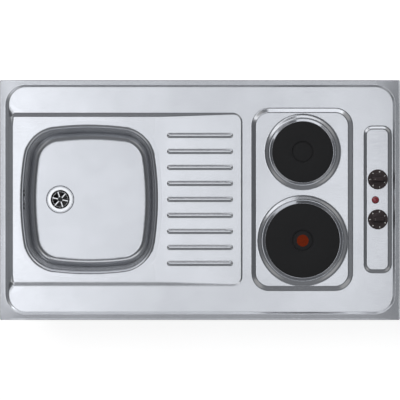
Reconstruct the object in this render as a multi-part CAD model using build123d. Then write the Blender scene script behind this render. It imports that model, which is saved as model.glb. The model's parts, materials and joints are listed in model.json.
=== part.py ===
"""Sink and stove unit: a lay-on stainless worktop with a bowl, a drainer, two hotplates and their controls.

Millimetres. The origin is at the middle of the plan, on the plane where the worktop's folded edge rests on
its cabinet. +X runs to the controls, +Y to the wall behind the unit and +Z up.
"""

import math
import os

from build123d import *

# Worktop sheet
unit_length = 1000.0
unit_depth = 600.0
skirt_height = 40.0
sheet = 0.8
fold_radius = 2.5
corner_radius = 3.0
return_flange = 12.0
press_shift_y = 1.5

# Raised rim and the panel inside it
rim_drop = 5.0
rim_left = 14.0
rim_right = 12.5
rim_front_rear = 13.8
rim_run = 5.0
rim_corner = 45.0

# Sunken sink field with the sloping drainer
sink_drop = 6.0
sink_half_depth = 216.5
sink_wall_run = 9.5
left_wall_run = 17.0
drainer_margin = 1.1
drainer_from_hob = 23.0
drainer_end_drop = 2.0
drainer_end_run = 3.2
sink_corner = 20.0

# Drainer ribs
rib_count = 9
rib_pitch = 40.0
rib_start_gap = 12.0
rib_end_gap = 25.4
rib_width = 11.0
rib_height = 3.0
rib_draft = 40.0

# Bowl
bowl_from_left = 48.1
bowl_from_wall = 18.6
bowl_half_length = 174.2
bowl_side_bow = 725.0
bowl_corner = 90.0
bowl_depth = 150.0
bowl_draft = 3.5
bowl_lip_radius = 11.0
bowl_floor_radius = 20.0
bowl_dish_run = 10.0
bowl_dish_depth = 1.2
bowl_dish_radius = 60.0
bowl_flange = 8.0

# Waste fitting
waste_from_side = 96.3
waste_flange_radius = 32.0
waste_mouth_radius = 24.1
waste_throat_radius = 19.6
waste_throat_depth = 8.0
waste_wall = 1.2
waste_hole_radius = 26.0
seat_depth = 2.5
seat_margin = 1.5
spoke_count = 6
spoke_width = 2.4
spoke_inner_radius = 6.5
spoke_outer_radius = 19.2
spoke_turn = 47.7
seal_thickness = 1.5
seal_width = 3.5
waste_screw_radius = 3.0
waste_screw_head_radius = 6.2
waste_screw_head = 2.2
waste_screw_slot = 1.6
web_gap = 4.0
web_height = 10.0
waste_body_radius = 30.0
waste_body_flange = 34.0
waste_body_height = 38.0
waste_body_wall = 3.0
outlet_radius = 23.9
outlet_bore = 19.5
outlet_length = 24.0

# Overflow
overflow_depth = 15.0
overflow_holes = (-21.5, -11.7, 11.7, 21.5)
overflow_hole_width = 6.0
overflow_hole_height = 21.0
overflow_screw_radius = 2.5
overflow_screw_head_radius = 4.5
overflow_screw_head = 2.0
overflow_screw_slot = 1.0
overflow_screw_length = 26.0
overflow_screw_lift = 0.05
overflow_head_length = 62.0
overflow_head_height = 26.0
overflow_head_depth = 30.0
overflow_head_wall = 2.5
overflow_head_gap = 8.0
overflow_pipe_radius = 11.0
overflow_pipe_bore = 9.0
overflow_pipe_bend = 32.0
overflow_spigot = 14.0
spigot_clearance = 0.05

# Sound-deadening pad under the bowl
pad_thickness = 2.0
pad_from_side = 68.9
pad_from_ends = 92.0
pad_gap = 14.0

# Battens that stiffen the folded edge, and the fixing straps
batten_width = 17.0
batten_height = 32.0
batten_end_gap = 4.0
strap_width = 30.0
strap_length = 58.0
strap_thickness = 1.5
strap_hang = 34.0
strap_spacing = 400.0
strap_hole_radius = 2.5
strap_hole_height = 16.0
strap_screw_radius = 1.8
strap_screw_head_radius = 3.6
strap_screw_head = 2.2
strap_screw_length = 14.0
strap_screw_pitch = 10.0

# Hob island, control island
hob_from_right = 118.5
hob_length = 252.5
hob_depth = 456.0
hob_corner = 44.0
hob_rise = 6.0
hob_run = 10.5
control_from_right = 21.5
control_length = 69.0
control_depth = 367.0
control_corner = 18.0
control_rise = 4.0
control_run = 7.5
island_edge_radius = 4.0

# Hotplates: offsets from the middle of the hob, plate radius and collar radius at the hob
plate_offset_x = 1.25
rear_plate_offset = 118.5
front_plate_offset = -103.0
rear_plate_radius = 76.4
front_plate_radius = 93.0
rear_collar_radius = 94.0
front_collar_radius = 112.4
collar_run = 10.0
collar_rise = 5.0
collar_land = 5.0
collar_edge_radius = 2.5
plate_stand = 6.0
plate_rim = 10.0
plate_bevel = 1.2
plate_recess_radius = 26.5
plate_recess_depth = 1.6
trim_inset = 0.4
trim_foot = 1.5
trim_sheet = 0.6
trim_rise = 3.0
trim_gap = 0.05
core_depth = 4.5
core_inner_radius = 28.0
core_margin = 7.0
pan_margin = 5.0
pan_depth = 8.0
pan_sheet = 0.8
stud_radius = 3.0
stud_length = 40.0
stud_seat = 6.0
boss_radius = 9.0
boss_height = 5.0
hole_clearance = 0.4
bridge_width = 16.0
bridge_sheet = 2.5
bridge_drop = 14.0
bridge_leg = 2.4
nut_height = 5.0
nut_across_flats = 10.0
red_dot_radius = 14.8
red_dot_thickness = 0.3
plate_terminal_offset = (44.0, 30.0)
plate_terminal_size = (26.0, 34.0, 14.0)
plate_pin_radius = 1.6
plate_pin_length = 7.0
plate_pin_count = 4
plate_pin_pitch = 8.0

# Controls
knob_offset_x = 0.5
knob_spacing = 100.0
knob_radius = 25.0
knob_gap = 1.0
knob_skirt = 5.0
knob_grip_length = 33.0
knob_grip_width = 12.0
knob_grip_height = 17.0
knob_hub_radius = 14.0
knob_bore_depth = 14.0
spindle_radius = 3.0
spindle_flat = 0.9
spindle_clearance = 0.05
spindle_hole_radius = 5.0
bracket_sheet = 1.5
bracket_width = 40.0
bracket_half_length = 84.0
bracket_foot = 12.0
bracket_drop = 7.0
switch_side = 38.0
switch_height = 34.0
switch_wall = 5.0
cam_cavity_radius = 13.5
cam_radius = 11.5
cam_notch = 1.6
cam_notch_count = 7
cam_clearance = 0.5
tab_width = 6.3
tab_thickness = 0.8
tab_reach = 8.0
tab_gap = 0.6
tab_offset_y = 7.0
tab_heights = (9.0, 21.0)
switch_screw_radius = 2.0
switch_screw_head_radius = 3.5
switch_screw_head = 2.2
switch_screw_length = 10.0
switch_screw_offset = 15.0
lamp_offset_x = -5.5
lamp_offset_y = -1.4
lamp_hole_radius = 6.0
lamp_lens_radius = 8.8
lamp_bezel_radius = 9.4
lamp_bezel_height = 2.4
lamp_lens_rise = 3.4
lamp_barrel_length = 22.0
lamp_barrel_wall = 1.2
lamp_nut_radius = 9.5
lamp_nut_thickness = 1.2
dome_land = 0.25

# Tray under the hob, its studs and nuts, and the supply inlet
tray_sheet = 1.0
tray_beyond_hob = 3.0
tray_inside_control = 4.5
tray_half_depth = 234.0
tray_flange = 15.0
tray_depth = 52.0
tray_stud_radius = 2.0
tray_stud_length = 12.0
tray_stud_inset = 60.0
tray_nut_height = 3.2
tray_nut_across_flats = 7.0
inlet_wall_gap = 18.0
inlet_bore = 6.0
inlet_body_radius = 10.0
inlet_body_length = 18.0
inlet_thread_radius = 8.0
inlet_nut_height = 4.0
inlet_nut_across_flats = 22.0
block_length = 58.0
block_depth = 20.0
block_height = 26.0
block_poles = 5
block_gap = 4.0
block_screw_radius = 1.8
block_screw_head = 1.5

# Leads in their sleeves, and their plugs
lead_radius = 3.0
lead_bend = 12.0
plug_wall = 3.0
plug_gap = 0.5

# Levels worked out from the sizes above
rim_z = skirt_height
panel_z = rim_z - rim_drop
sink_z = panel_z - sink_drop
drainer_end_z = panel_z - drainer_end_drop
hob_z = panel_z + hob_rise
control_z = panel_z + control_rise
collar_z = hob_z + collar_rise
panel_under_z = panel_z - sheet
bowl_floor_z = sink_z - bowl_depth
above = 10.0
reach = unit_length

rim_left_x = -unit_length / 2 + rim_left
rim_right_x = unit_length / 2 - rim_right
rim_half_depth = unit_depth / 2 - rim_front_rear
skirt_inner_x = unit_length / 2 - sheet
skirt_inner_y = unit_depth / 2 - sheet

# The bowl goes with the left edge, the hob and the controls with the right one, and the drainer lies between
bowl_left_x = -unit_length / 2 + bowl_from_left
bowl_centre_x = bowl_left_x + bowl_half_length
bowl_right_x = bowl_centre_x + bowl_half_length
bowl_half_depth = sink_half_depth - sink_wall_run - bowl_from_wall
waste_x = bowl_left_x + waste_from_side
hob_right_x = unit_length / 2 - hob_from_right
hob_left_x = hob_right_x - hob_length
hob_centre_x = (hob_left_x + hob_right_x) / 2
control_right_x = unit_length / 2 - control_from_right
control_centre_x = control_right_x - control_length / 2
drainer_start_x = bowl_right_x + bowl_flange + drainer_margin
drainer_end_x = hob_left_x - drainer_from_hob
rib_left_x = drainer_start_x + rib_start_gap
rib_right_x = drainer_end_x - rib_end_gap
plate_x = hob_centre_x + plate_offset_x
rear_plate_y = press_shift_y + rear_plate_offset
front_plate_y = press_shift_y + front_plate_offset
knob_x = control_centre_x + knob_offset_x
lamp_x = control_centre_x + lamp_offset_x
lamp_y = press_shift_y + lamp_offset_y
tray_left_x = hob_left_x - tray_beyond_hob
tray_right_x = control_right_x - tray_inside_control
knob_places = {
    "rear": press_shift_y + knob_spacing / 2,
    "front": press_shift_y - knob_spacing / 2,
}
plates = {
    "rear": (rear_plate_y, rear_plate_radius, rear_collar_radius),
    "front": (front_plate_y, front_plate_radius, front_collar_radius),
}


# Helpers
def between(low, high):
    """A box from its low corner to its high corner."""
    size = [b - a for a, b in zip(low, high)]
    middle = [(a + b) / 2 for a, b in zip(low, high)]
    return Pos(*middle) * Box(*size)


def drum(x, y, z_low, z_high, radius):
    """An upright cylinder."""
    return Pos(x, y, (z_low + z_high) / 2) * Cylinder(radius, z_high - z_low)


def tube(x, y, z_low, z_high, outer, inner):
    """An upright tube."""
    return drum(x, y, z_low, z_high, outer) - drum(x, y, z_low, z_high, inner)


def hexagon(x, y, z_low, z_high, across_flats):
    """An upright hexagonal prism, as on a nut."""
    flat = RegularPolygon(across_flats / 2, 6, major_radius=False)
    return extrude(Pos(x, y, z_low) * flat, z_high - z_low)


def along_y(points):
    """A long prism whose section is given as x and z."""
    section = make_face(Polyline(*[(x, -reach, z) for x, z in points], close=True))
    return extrude(section, 2 * reach, dir=(0, 1, 0))


def along_x(points):
    """A long prism whose section is given as y and z."""
    section = make_face(Polyline(*[(-reach, y, z) for y, z in points], close=True))
    return extrude(section, 2 * reach, dir=(1, 0, 0))


def turned(x, y, points):
    """A ring turned about an upright axis from its section in radius and height."""
    section = make_face(Polyline(*[(r, 0, z) for r, z in points], close=True))
    return Pos(x, y, 0) * revolve(section, Axis.Z)


def sloping_edges(solid):
    """The edges of a cutter that climb through its top."""
    boxes = [(e, e.bounding_box()) for e in solid.edges()]
    return [e for e, box in boxes if box.max.Z > rim_z and box.size.Z > above / 2]


def top_edges(solid):
    """The edges round a solid's highest face."""
    return solid.faces().sort_by(Axis.Z)[-1].edges()


def bowed_outline(grow):
    """The bowl's outline: four bowed sides with rounded corners, grown outwards by a margin."""
    half_x, half_y = bowl_half_length + grow, bowl_half_depth + grow
    bow = bowl_side_bow + grow
    # Two neighbouring side arcs have their centres on the axes, and the corner is where they cross.
    side = Vector(half_x - bow, 0)
    end = Vector(0, half_y - bow)
    apart = end - side
    height = math.sqrt(bow**2 - (apart.length / 2) ** 2)
    normal = Vector(-apart.Y, apart.X).normalized()
    corner = (side + end) * 0.5 + normal * height
    if corner.X < 0:
        corner = (side + end) * 0.5 - normal * height
    x, y = corner.X, corner.Y
    sides = [
        ThreePointArc((-x, y), (0, half_y), (x, y)),
        ThreePointArc((x, y), (half_x, 0), (x, -y)),
        ThreePointArc((x, -y), (0, -half_y), (-x, -y)),
        ThreePointArc((-x, -y), (-half_x, 0), (-x, y)),
    ]
    face = make_face(sides)
    return fillet(face.vertices(), bowl_corner + grow)


# Worktop
def left_wall_x(z):
    """Where the sloping wall on the left stands at a height."""
    return rim_left_x + left_wall_run * (rim_z - z) / (rim_drop + sink_drop)


def panel_cut():
    """What is pressed out inside the rim."""
    top = rim_z + above

    def inside(edge, z):
        return edge - rim_run * (rim_z - z) / rim_drop

    length = along_y(
        [
            (left_wall_x(top), top),
            (left_wall_x(panel_z), panel_z),
            (inside(rim_right_x, panel_z), panel_z),
            (inside(rim_right_x, top), top),
        ]
    )
    low, high = inside(rim_half_depth, panel_z), inside(rim_half_depth, top)
    depth = along_x([(-high, top), (-low, panel_z), (low, panel_z), (high, top)])
    cut = length & (Pos(0, press_shift_y, 0) * depth)
    return fillet(sloping_edges(cut), rim_corner)


def sink_cut():
    """What is pressed out for the bowl and the sloping drainer."""
    top = rim_z + above

    def wall(z):
        return sink_half_depth - sink_wall_run * (panel_z - z) / sink_drop

    def end(z):
        return drainer_end_x - drainer_end_run * (panel_z - z) / drainer_end_drop

    length = along_y(
        [
            (left_wall_x(top), top),
            (left_wall_x(sink_z), sink_z),
            (drainer_start_x, sink_z),
            (end(drainer_end_z), drainer_end_z),
            (end(top), top),
        ]
    )
    low, high = wall(sink_z), wall(top)
    depth = along_x([(-high, top), (-low, sink_z), (low, sink_z), (high, top)])
    cut = length & (Pos(0, press_shift_y, 0) * depth)
    right = [e for e in sloping_edges(cut) if e.center().X > drainer_start_x]
    return fillet(right, sink_corner)


def drainer_ribs():
    """The raised beads of the drainer, lying on its slope."""
    foot_x = drainer_end_x - drainer_end_run
    slope = (drainer_end_z - sink_z) / (foot_x - drainer_start_x)
    middle_x = (rib_left_x + rib_right_x) / 2
    middle_z = sink_z + slope * (middle_x - drainer_start_x)
    ribs = []
    for i in range(rib_count):
        y = press_shift_y + (i - (rib_count - 1) / 2) * rib_pitch
        place = Plane((middle_x, y, middle_z), x_dir=(1, 0, slope), z_dir=(-slope, 0, 1))
        bead = extrude(place * SlotOverall(rib_right_x - rib_left_x, rib_width), rib_height, taper=rib_draft)
        ribs.append(bead)
    return ribs


def island(centre_x, length, depth, corner, rise, run):
    """A raised field with sloping sides and a rounded upper edge."""
    foot = Pos(centre_x, press_shift_y, panel_z) * RectangleRounded(length, depth, corner)
    body = extrude(foot, rise, taper=math.degrees(math.atan(run / rise)))
    return fillet(top_edges(body), island_edge_radius)


def collar(y, radius):
    """The raised cone that carries one hotplate."""
    sunk = collar_rise
    foot = radius + collar_run * sunk / collar_rise
    cone = Cone(foot, radius - collar_run, collar_rise + sunk)
    cone = fillet(cone.edges().sort_by(Axis.Z)[-1], collar_edge_radius)
    return Pos(plate_x, y, collar_z - (collar_rise + sunk) / 2) * cone


def pressed_block(inset):
    """The worktop as a block, its faces set in by a margin on every side but the underside."""
    down = Pos(0, 0, -inset)
    low = 0.0 if inset == 0 else -above
    plan = RectangleRounded(unit_length - 2 * inset, unit_depth - 2 * inset, corner_radius - inset)
    block = extrude(Pos(0, 0, low) * plan, rim_z - inset - low)
    block = fillet(top_edges(block), fold_radius - inset)
    block = block - down * panel_cut()
    block = block + down * island(hob_centre_x, hob_length, hob_depth, hob_corner, hob_rise, hob_run)
    block = block + down * island(
        control_centre_x, control_length, control_depth, control_corner, control_rise, control_run
    )
    for y, _, radius in plates.values():
        block = block + down * collar(y, radius)
    block = block - down * sink_cut()
    for rib in drainer_ribs():
        block = block + down * rib
    return block


def worktop():
    """The pressed sheet with its folded edge and openings."""
    top = pressed_block(0.0) - pressed_block(sheet)
    outer = RectangleRounded(unit_length - 2 * sheet, unit_depth - 2 * sheet, corner_radius - sheet)
    inner = Rectangle(unit_length - 2 * return_flange, unit_depth - 2 * return_flange)
    top = top + extrude(outer - inner, sheet)
    tall = rim_z + above
    mouth = Pos(bowl_centre_x, press_shift_y, 0) * bowed_outline(bowl_flange)
    top = top - extrude(mouth, tall)
    for y, _, radius in plates.values():
        top = top - drum(plate_x, y, 0, collar_z + above, plate_hole(radius))
    for y in knob_places.values():
        top = top - drum(knob_x, y, 0, tall, spindle_hole_radius)
    top = top - drum(lamp_x, lamp_y, 0, tall, lamp_hole_radius)
    return top


def plate_hole(radius):
    """The radius of the opening in a collar."""
    return radius - collar_run - collar_land


# Bowl
def bowl_cavity(grow, z_top):
    """The inside of the bowl, grown outwards by a margin, with its top at a height."""
    draft = math.tan(math.radians(bowl_draft))
    lip = bowl_lip_radius * math.tan(math.radians((90 - bowl_draft) / 2))
    side = grow / math.cos(math.radians(bowl_draft))
    wall = z_top - bowl_floor_z + grow - bowl_dish_depth
    # The walls lean on, so a higher or lower mouth moves out or in along the same wall.
    mouth = side - lip + (z_top - sink_z) * draft
    solid = extrude(bowed_outline(mouth), -wall, taper=bowl_draft)
    # The floor dips a little from its edge, so that water runs off the corners.
    foot = solid.faces().sort_by(Axis.Z)[0]
    dish_taper = math.degrees(math.atan(bowl_dish_run / bowl_dish_depth))
    solid = solid + extrude(foot, bowl_dish_depth, dir=(0, 0, -1), taper=dish_taper)
    solid = fillet(solid.faces().sort_by(Axis.Z)[0].edges(), bowl_dish_radius + grow)
    turn = solid.edges().filter_by_position(Axis.Z, -wall - sheet / 2, -wall + sheet / 2)
    solid = fillet(turn, bowl_floor_radius + grow)
    return Pos(bowl_centre_x, press_shift_y, z_top) * solid


def bowl_block(grow):
    """The bowl as a hollow in a block, its faces set back by a margin."""
    z_top = sink_z - grow
    z_low = bowl_floor_z - seat_depth - above
    plan = Pos(bowl_centre_x, press_shift_y, z_low) * bowed_outline(bowl_flange)
    block = extrude(plan, z_top - z_low) - bowl_cavity(grow, z_top)
    lip = [e for e in block.faces().sort_by(Axis.Z)[-1].inner_wires()[0].edges()]
    block = fillet(lip, bowl_lip_radius - grow)
    floor_z = bowl_floor_z - grow
    seat = waste_flange_radius + seat_margin
    dish = Cone(seat, seat + seat_depth + above, seat_depth + above)
    dish = Pos(waste_x, press_shift_y, floor_z - seat_depth + (seat_depth + above) / 2) * dish
    return block - dish


def overflow_place():
    """A plane on the bowl's left wall, facing into the bowl."""
    lean = math.radians(bowl_draft)
    lip = bowl_lip_radius * math.tan((math.pi / 2 - lean) / 2)
    x = bowl_left_x + lip + overflow_depth * math.tan(lean)
    return Plane(
        (x, press_shift_y, sink_z - overflow_depth),
        x_dir=(0, 1, 0),
        z_dir=(math.cos(lean), 0, math.sin(lean)),
    )


def overflow_bore(offset_y, radius, low, high):
    """A cylinder square to the overflow's wall."""
    place = overflow_place() * Pos(offset_y, 0, (low + high) / 2)
    return place * Cylinder(radius, high - low)


def sink_bowl():
    """The drawn bowl with its flange, waste seat and overflow holes."""
    shell = bowl_block(0.0) - bowl_block(sheet)
    shell = shell - drum(waste_x, press_shift_y, bowl_floor_z - above, bowl_floor_z, waste_hole_radius)
    slot = extrude(SlotOverall(overflow_hole_height, overflow_hole_width, rotation=90), above, both=True)
    for y in overflow_holes:
        shell = shell - overflow_place() * Pos(y, 0, 0) * slot
    return shell - overflow_bore(0, overflow_screw_radius, -above, above)


def sound_pad():
    """The deadening pad stuck under the bowl's floor."""
    top = bowl_floor_z - sheet
    low_x = waste_x + waste_flange_radius + pad_gap
    half = bowl_half_depth - pad_from_ends
    pad = between(
        (low_x, press_shift_y - half, top - pad_thickness),
        (bowl_right_x - pad_from_side, press_shift_y + half, top),
    )
    return fillet(pad.edges().filter_by(Axis.Z), pad_gap)


# Waste
seat_z = bowl_floor_z - seat_depth
flange_z = seat_z + seal_thickness
throat_z = flange_z - waste_throat_depth
under_seat_z = seat_z - sheet
body_top_z = under_seat_z - seal_thickness
web_z = throat_z - waste_wall - web_gap
pipe_low_z = body_top_z - waste_body_height / 2 - waste_body_wall


def waste_flange():
    """The stainless ring with its sunken grid of spokes."""
    lip_z = flange_z + waste_wall
    ring = turned(
        waste_x,
        press_shift_y,
        [
            (waste_flange_radius, flange_z),
            (waste_flange_radius - waste_wall, lip_z),
            (waste_mouth_radius, lip_z),
            (waste_throat_radius, throat_z),
            (0, throat_z),
            (0, throat_z - waste_wall),
            (waste_throat_radius + waste_wall, throat_z - waste_wall),
            (waste_mouth_radius + waste_wall, flange_z),
        ],
    )
    grid = tube(
        waste_x,
        press_shift_y,
        throat_z - waste_wall - above,
        throat_z + waste_wall,
        spoke_outer_radius,
        spoke_inner_radius,
    )
    spoke = between(
        (0, -spoke_width / 2, throat_z - waste_wall - above),
        (waste_throat_radius, spoke_width / 2, throat_z + waste_wall),
    )
    for i in range(spoke_count):
        turn = Pos(waste_x, press_shift_y, 0) * Rot(0, 0, 360 * i / spoke_count + spoke_turn)
        grid = grid - turn * spoke
    return ring - grid - drum(waste_x, press_shift_y, throat_z - above, throat_z + above, waste_screw_radius)


def waste_screw():
    """The screw that draws the ring and the body together."""
    head = drum(waste_x, press_shift_y, throat_z, throat_z + waste_screw_head, waste_screw_head_radius)
    shank = drum(waste_x, press_shift_y, web_z - web_height, throat_z, waste_screw_radius)
    slot = Box(2 * waste_screw_head_radius, waste_screw_slot, waste_screw_head)
    return head + shank - Pos(waste_x, press_shift_y, throat_z + waste_screw_head) * slot


def waste_body():
    """The plastic cup under the bowl with its threaded outlet and overflow inlet."""
    x, y = waste_x, press_shift_y
    low = body_top_z - waste_body_height
    inner = waste_body_radius - waste_body_wall
    cup = drum(x, y, low, body_top_z, waste_body_radius)
    cup = cup + drum(x, y, body_top_z - waste_body_wall, body_top_z, waste_body_flange)
    cup = cup + drum(x, y, low - outlet_length, low, outlet_radius)
    cup = cup - drum(x, y, low + waste_body_wall, body_top_z, inner)
    cup = cup - drum(x, y, low - outlet_length, low + waste_body_wall, outlet_bore)
    for turn in (0, 90):
        bar = between((-inner, -waste_body_wall / 2, web_z - web_height), (inner, waste_body_wall / 2, web_z))
        cup = cup + Pos(x, y, 0) * Rot(0, 0, turn) * bar
    cup = cup + drum(x, y, web_z - web_height, web_z, 2 * waste_screw_radius)
    cup = cup - drum(x, y, web_z - web_height, web_z, waste_screw_radius)
    inlet = Pos(x - waste_body_radius, y, pipe_low_z) * Rot(0, 90, 0)
    cup = cup + inlet * Cylinder(overflow_pipe_bore - spigot_clearance, 2 * overflow_spigot) - drum(
        x, y, low + waste_body_wall, web_z - web_height, inner
    )
    return cup - inlet * Cylinder(overflow_pipe_bore - waste_body_wall, 4 * overflow_spigot)


def waste_seal(z_low):
    """A flat rubber ring."""
    outer = waste_flange_radius - seat_margin
    return tube(waste_x, press_shift_y, z_low, z_low + seal_thickness, outer, outer - seal_width)


# Overflow
overflow_x = overflow_place().origin.X
head_face_x = overflow_x - overflow_head_gap
head_back_x = head_face_x - overflow_head_depth
head_z = sink_z - overflow_depth
pipe_x = (head_face_x + head_back_x) / 2
pipe_top_z = head_z - overflow_head_height / 2


def overflow_block(low_x, high_x, margin):
    """A block behind the overflow holes, set in by a margin."""
    half_y = overflow_head_length / 2 - margin
    half_z = overflow_head_height / 2 - margin
    return between(
        (low_x, press_shift_y - half_y, head_z - half_z), (high_x, press_shift_y + half_y, head_z + half_z)
    )


def overflow_seal():
    """The wedge-shaped rubber frame between the bowl's wall and the overflow head."""
    frame = overflow_block(head_face_x, overflow_x + above, 0)
    frame = frame - overflow_block(head_face_x, overflow_x + above, overflow_head_wall)
    return frame & bowl_block(sheet)


def overflow_head():
    """The plastic box that gathers the overflow's water."""
    head = overflow_block(head_back_x, head_face_x, 0)
    head = head - overflow_block(head_back_x + overflow_head_wall, head_face_x, overflow_head_wall)
    boss = overflow_bore(0, 2 * overflow_screw_radius, -2 * overflow_head_depth, -overflow_head_gap / 2)
    head = head + (boss & overflow_block(head_back_x, head_face_x, 0))
    head = head - overflow_bore(0, overflow_screw_radius, -overflow_screw_length, above)
    bore = overflow_pipe_bore - overflow_head_wall
    head = head + drum(
        pipe_x, press_shift_y, pipe_top_z - overflow_spigot, pipe_top_z, overflow_pipe_bore - spigot_clearance
    )
    return head - drum(
        pipe_x, press_shift_y, pipe_top_z - overflow_spigot, pipe_top_z + overflow_head_wall, bore
    )


def overflow_screw():
    """The screw that holds the overflow head to the wall."""
    top = overflow_screw_lift + overflow_screw_head
    head = overflow_bore(0, overflow_screw_head_radius, overflow_screw_lift, top)
    head = head + overflow_bore(0, overflow_screw_radius, -overflow_screw_length, overflow_screw_lift)
    slot = Box(2 * overflow_screw_head_radius, overflow_screw_slot, overflow_screw_head)
    return head - overflow_place() * Pos(0, 0, top) * slot


def overflow_pipe():
    """The moulded pipe from the overflow head to the waste body."""
    end_x = waste_x - waste_body_radius
    route = FilletPolyline(
        (pipe_x, press_shift_y, pipe_top_z),
        (pipe_x, press_shift_y, pipe_low_z),
        (end_x, press_shift_y, pipe_low_z),
        radius=overflow_pipe_bend,
    )
    start = Plane(route @ 0, z_dir=route % 0)
    outer = sweep(start * Circle(overflow_pipe_radius), route)
    return outer - sweep(start * Circle(overflow_pipe_bore), route)


# Battens and fixing straps
def battens():
    """Four wooden strips glued inside the folded edge."""
    low, high = sheet, sheet + batten_height
    half_x = skirt_inner_x - batten_end_gap
    inner_y = skirt_inner_y - batten_width
    inner_x = skirt_inner_x - batten_width
    return {
        "front_batten": between((-half_x, -skirt_inner_y, low), (half_x, -inner_y, high)),
        "rear_batten": between((-half_x, inner_y, low), (half_x, skirt_inner_y, high)),
        "left_batten": between((-skirt_inner_x, -inner_y, low), (-inner_x, inner_y, high)),
        "right_batten": between((inner_x, -inner_y, low), (skirt_inner_x, inner_y, high)),
    }


def strap_places():
    """Each strap's side, as a sign, and its place along the side."""
    return [(side, press_shift_y + along * strap_spacing / 2) for side in (-1, 1) for along in (-1, 1)]


def across(side, y, z, radius, x_out, x_in):
    """A cylinder along X on one side, from an outer to an inner distance."""
    place = Pos(side * (x_out + x_in) / 2, y, z) * Rot(0, 90, 0)
    return place * Cylinder(radius, abs(x_out - x_in))


def strap_screw_heights():
    """The heights of a strap's two screws into the batten."""
    top = strap_length - strap_hang
    return (top / 2 - strap_screw_pitch / 2 + sheet, top / 2 + strap_screw_pitch / 2 + sheet)


def fixing_straps():
    """Flat straps on the battens that take a screw into the cabinet's side."""
    face = skirt_inner_x - batten_width
    straps = []
    for side, y in strap_places():
        low = (side * face, y - strap_width / 2, -strap_hang)
        high = (side * (face - strap_thickness), y + strap_width / 2, strap_length - strap_hang)
        strap = between([min(a, b) for a, b in zip(low, high)], [max(a, b) for a, b in zip(low, high)])
        strap = fillet(strap.edges().filter_by(Axis.X), strap_hole_radius)
        strap = strap - across(side, y, -strap_hole_height, strap_hole_radius, face + above, face - above)
        for z in strap_screw_heights():
            strap = strap - across(side, y, z, strap_screw_radius, face + above, face - above)
        straps.append(strap)
    return straps


def strap_screws():
    """Wood screws that hold the straps to the battens."""
    face = skirt_inner_x - batten_width
    inner = face - strap_thickness
    screws = []
    for side, y in strap_places():
        for z in strap_screw_heights():
            shank = across(side, y, z, strap_screw_radius, inner + strap_screw_length, inner)
            head = across(side, y, z, strap_screw_head_radius, inner, inner - strap_screw_head)
            screws.append(shank + head)
    return screws


# Hotplates
def plate_levels():
    """The heights of a hotplate: its top, its underside and the pan under it."""
    top = collar_z + plate_stand
    under = top - plate_rim
    return top, under, under - pan_depth


def hotplate(y, radius):
    """The cast-iron plate with its unheated middle, its groove and its boss."""
    top, under, _ = plate_levels()
    body = turned(
        plate_x,
        y,
        [
            (0, top - plate_recess_depth),
            (plate_recess_radius, top - plate_recess_depth),
            (plate_recess_radius + plate_recess_depth, top),
            (radius - plate_bevel, top),
            (radius, top - plate_bevel),
            (radius, under),
            (radius - core_margin, under),
            (radius - core_margin, under + core_depth),
            (core_inner_radius, under + core_depth),
            (core_inner_radius, under),
            (boss_radius, under),
            (boss_radius, under - boss_height),
            (0, under - boss_height),
        ],
    )
    return body - drum(plate_x, y, under - boss_height, under - boss_height + stud_seat, stud_radius)


def heating_core(y, radius):
    """The pressed insulation that holds the coil in the plate's groove."""
    _, under, _ = plate_levels()
    return tube(plate_x, y, under, under + core_depth, radius - core_margin, core_inner_radius)


def base_pan(y, radius):
    """The thin dish that closes the plate from below."""
    _, under, low = plate_levels()
    rim = radius - pan_margin
    pan = drum(plate_x, y, low, under, rim) - drum(plate_x, y, low + pan_sheet, under, rim - pan_sheet)
    return pan - drum(plate_x, y, low, under, stud_radius + hole_clearance)


def trim_ring(y, radius, collar_radius):
    """The stainless ring between the plate and its collar."""
    inner = radius + trim_gap
    outer = collar_radius - collar_run - trim_inset
    foot = outer - trim_foot
    return turned(
        plate_x,
        y,
        [
            (outer, collar_z),
            (outer, collar_z + trim_sheet),
            (foot, collar_z + trim_sheet),
            (inner, collar_z + trim_rise + trim_sheet),
            (inner, collar_z + trim_rise),
            (foot, collar_z),
        ],
    )


def centre_stud(y):
    """The threaded stud in the middle of a plate."""
    _, under, _ = plate_levels()
    top = under - boss_height + stud_seat
    return drum(plate_x, y, top - stud_length, top, stud_radius)


def bridge_levels():
    """The underside and top of a clamp bridge."""
    _, _, pan = plate_levels()
    return pan - bridge_drop + bridge_sheet, pan - bridge_drop + 2 * bridge_sheet


def clamp_bridge(y, collar_radius):
    """The bar that pulls a plate down, with its legs up against the collar."""
    low, high = bridge_levels()
    outer = plate_hole(collar_radius) + bridge_leg + hole_clearance
    half = bridge_width / 2
    bar = between((-outer, -half, low), (outer, half, high))
    for side in (-1, 1):
        a, b = sorted((side * outer, side * (outer - bridge_leg)))
        bar = bar + between((a, -half, low), (b, half, collar_z - sheet))
    bar = Pos(plate_x, y, 0) * bar
    return bar - drum(plate_x, y, low, high, stud_radius + hole_clearance)


def clamp_nut(y):
    """The nut under a clamp bridge."""
    low, _ = bridge_levels()
    nut = hexagon(plate_x, y, low - nut_height, low, nut_across_flats)
    return nut - drum(plate_x, y, low - nut_height, low, stud_radius)


def terminal_box(y):
    """The low and high corners of a plate's terminal block."""
    _, _, top = plate_levels()
    length, depth, height = plate_terminal_size
    x, y = plate_x + plate_terminal_offset[0], y + plate_terminal_offset[1]
    return (x - length / 2, y - depth / 2, top - height), (x + length / 2, y + depth / 2, top)


def pin_places(y):
    """The height and places of the pins on a plate's terminal block."""
    low, high = terminal_box(y)
    middle = (low[1] + high[1]) / 2
    z = (low[2] + high[2]) / 2
    places = [middle + (i - (plate_pin_count - 1) / 2) * plate_pin_pitch for i in range(plate_pin_count)]
    return high[0], places, z


def plate_terminal(y):
    """The ceramic block under a plate."""
    low, high = terminal_box(y)
    block = between(low, high)
    x, places, z = pin_places(y)
    for place in places:
        block = block - across(1, place, z, plate_pin_radius, x - plate_pin_length, x)
    return block


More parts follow.
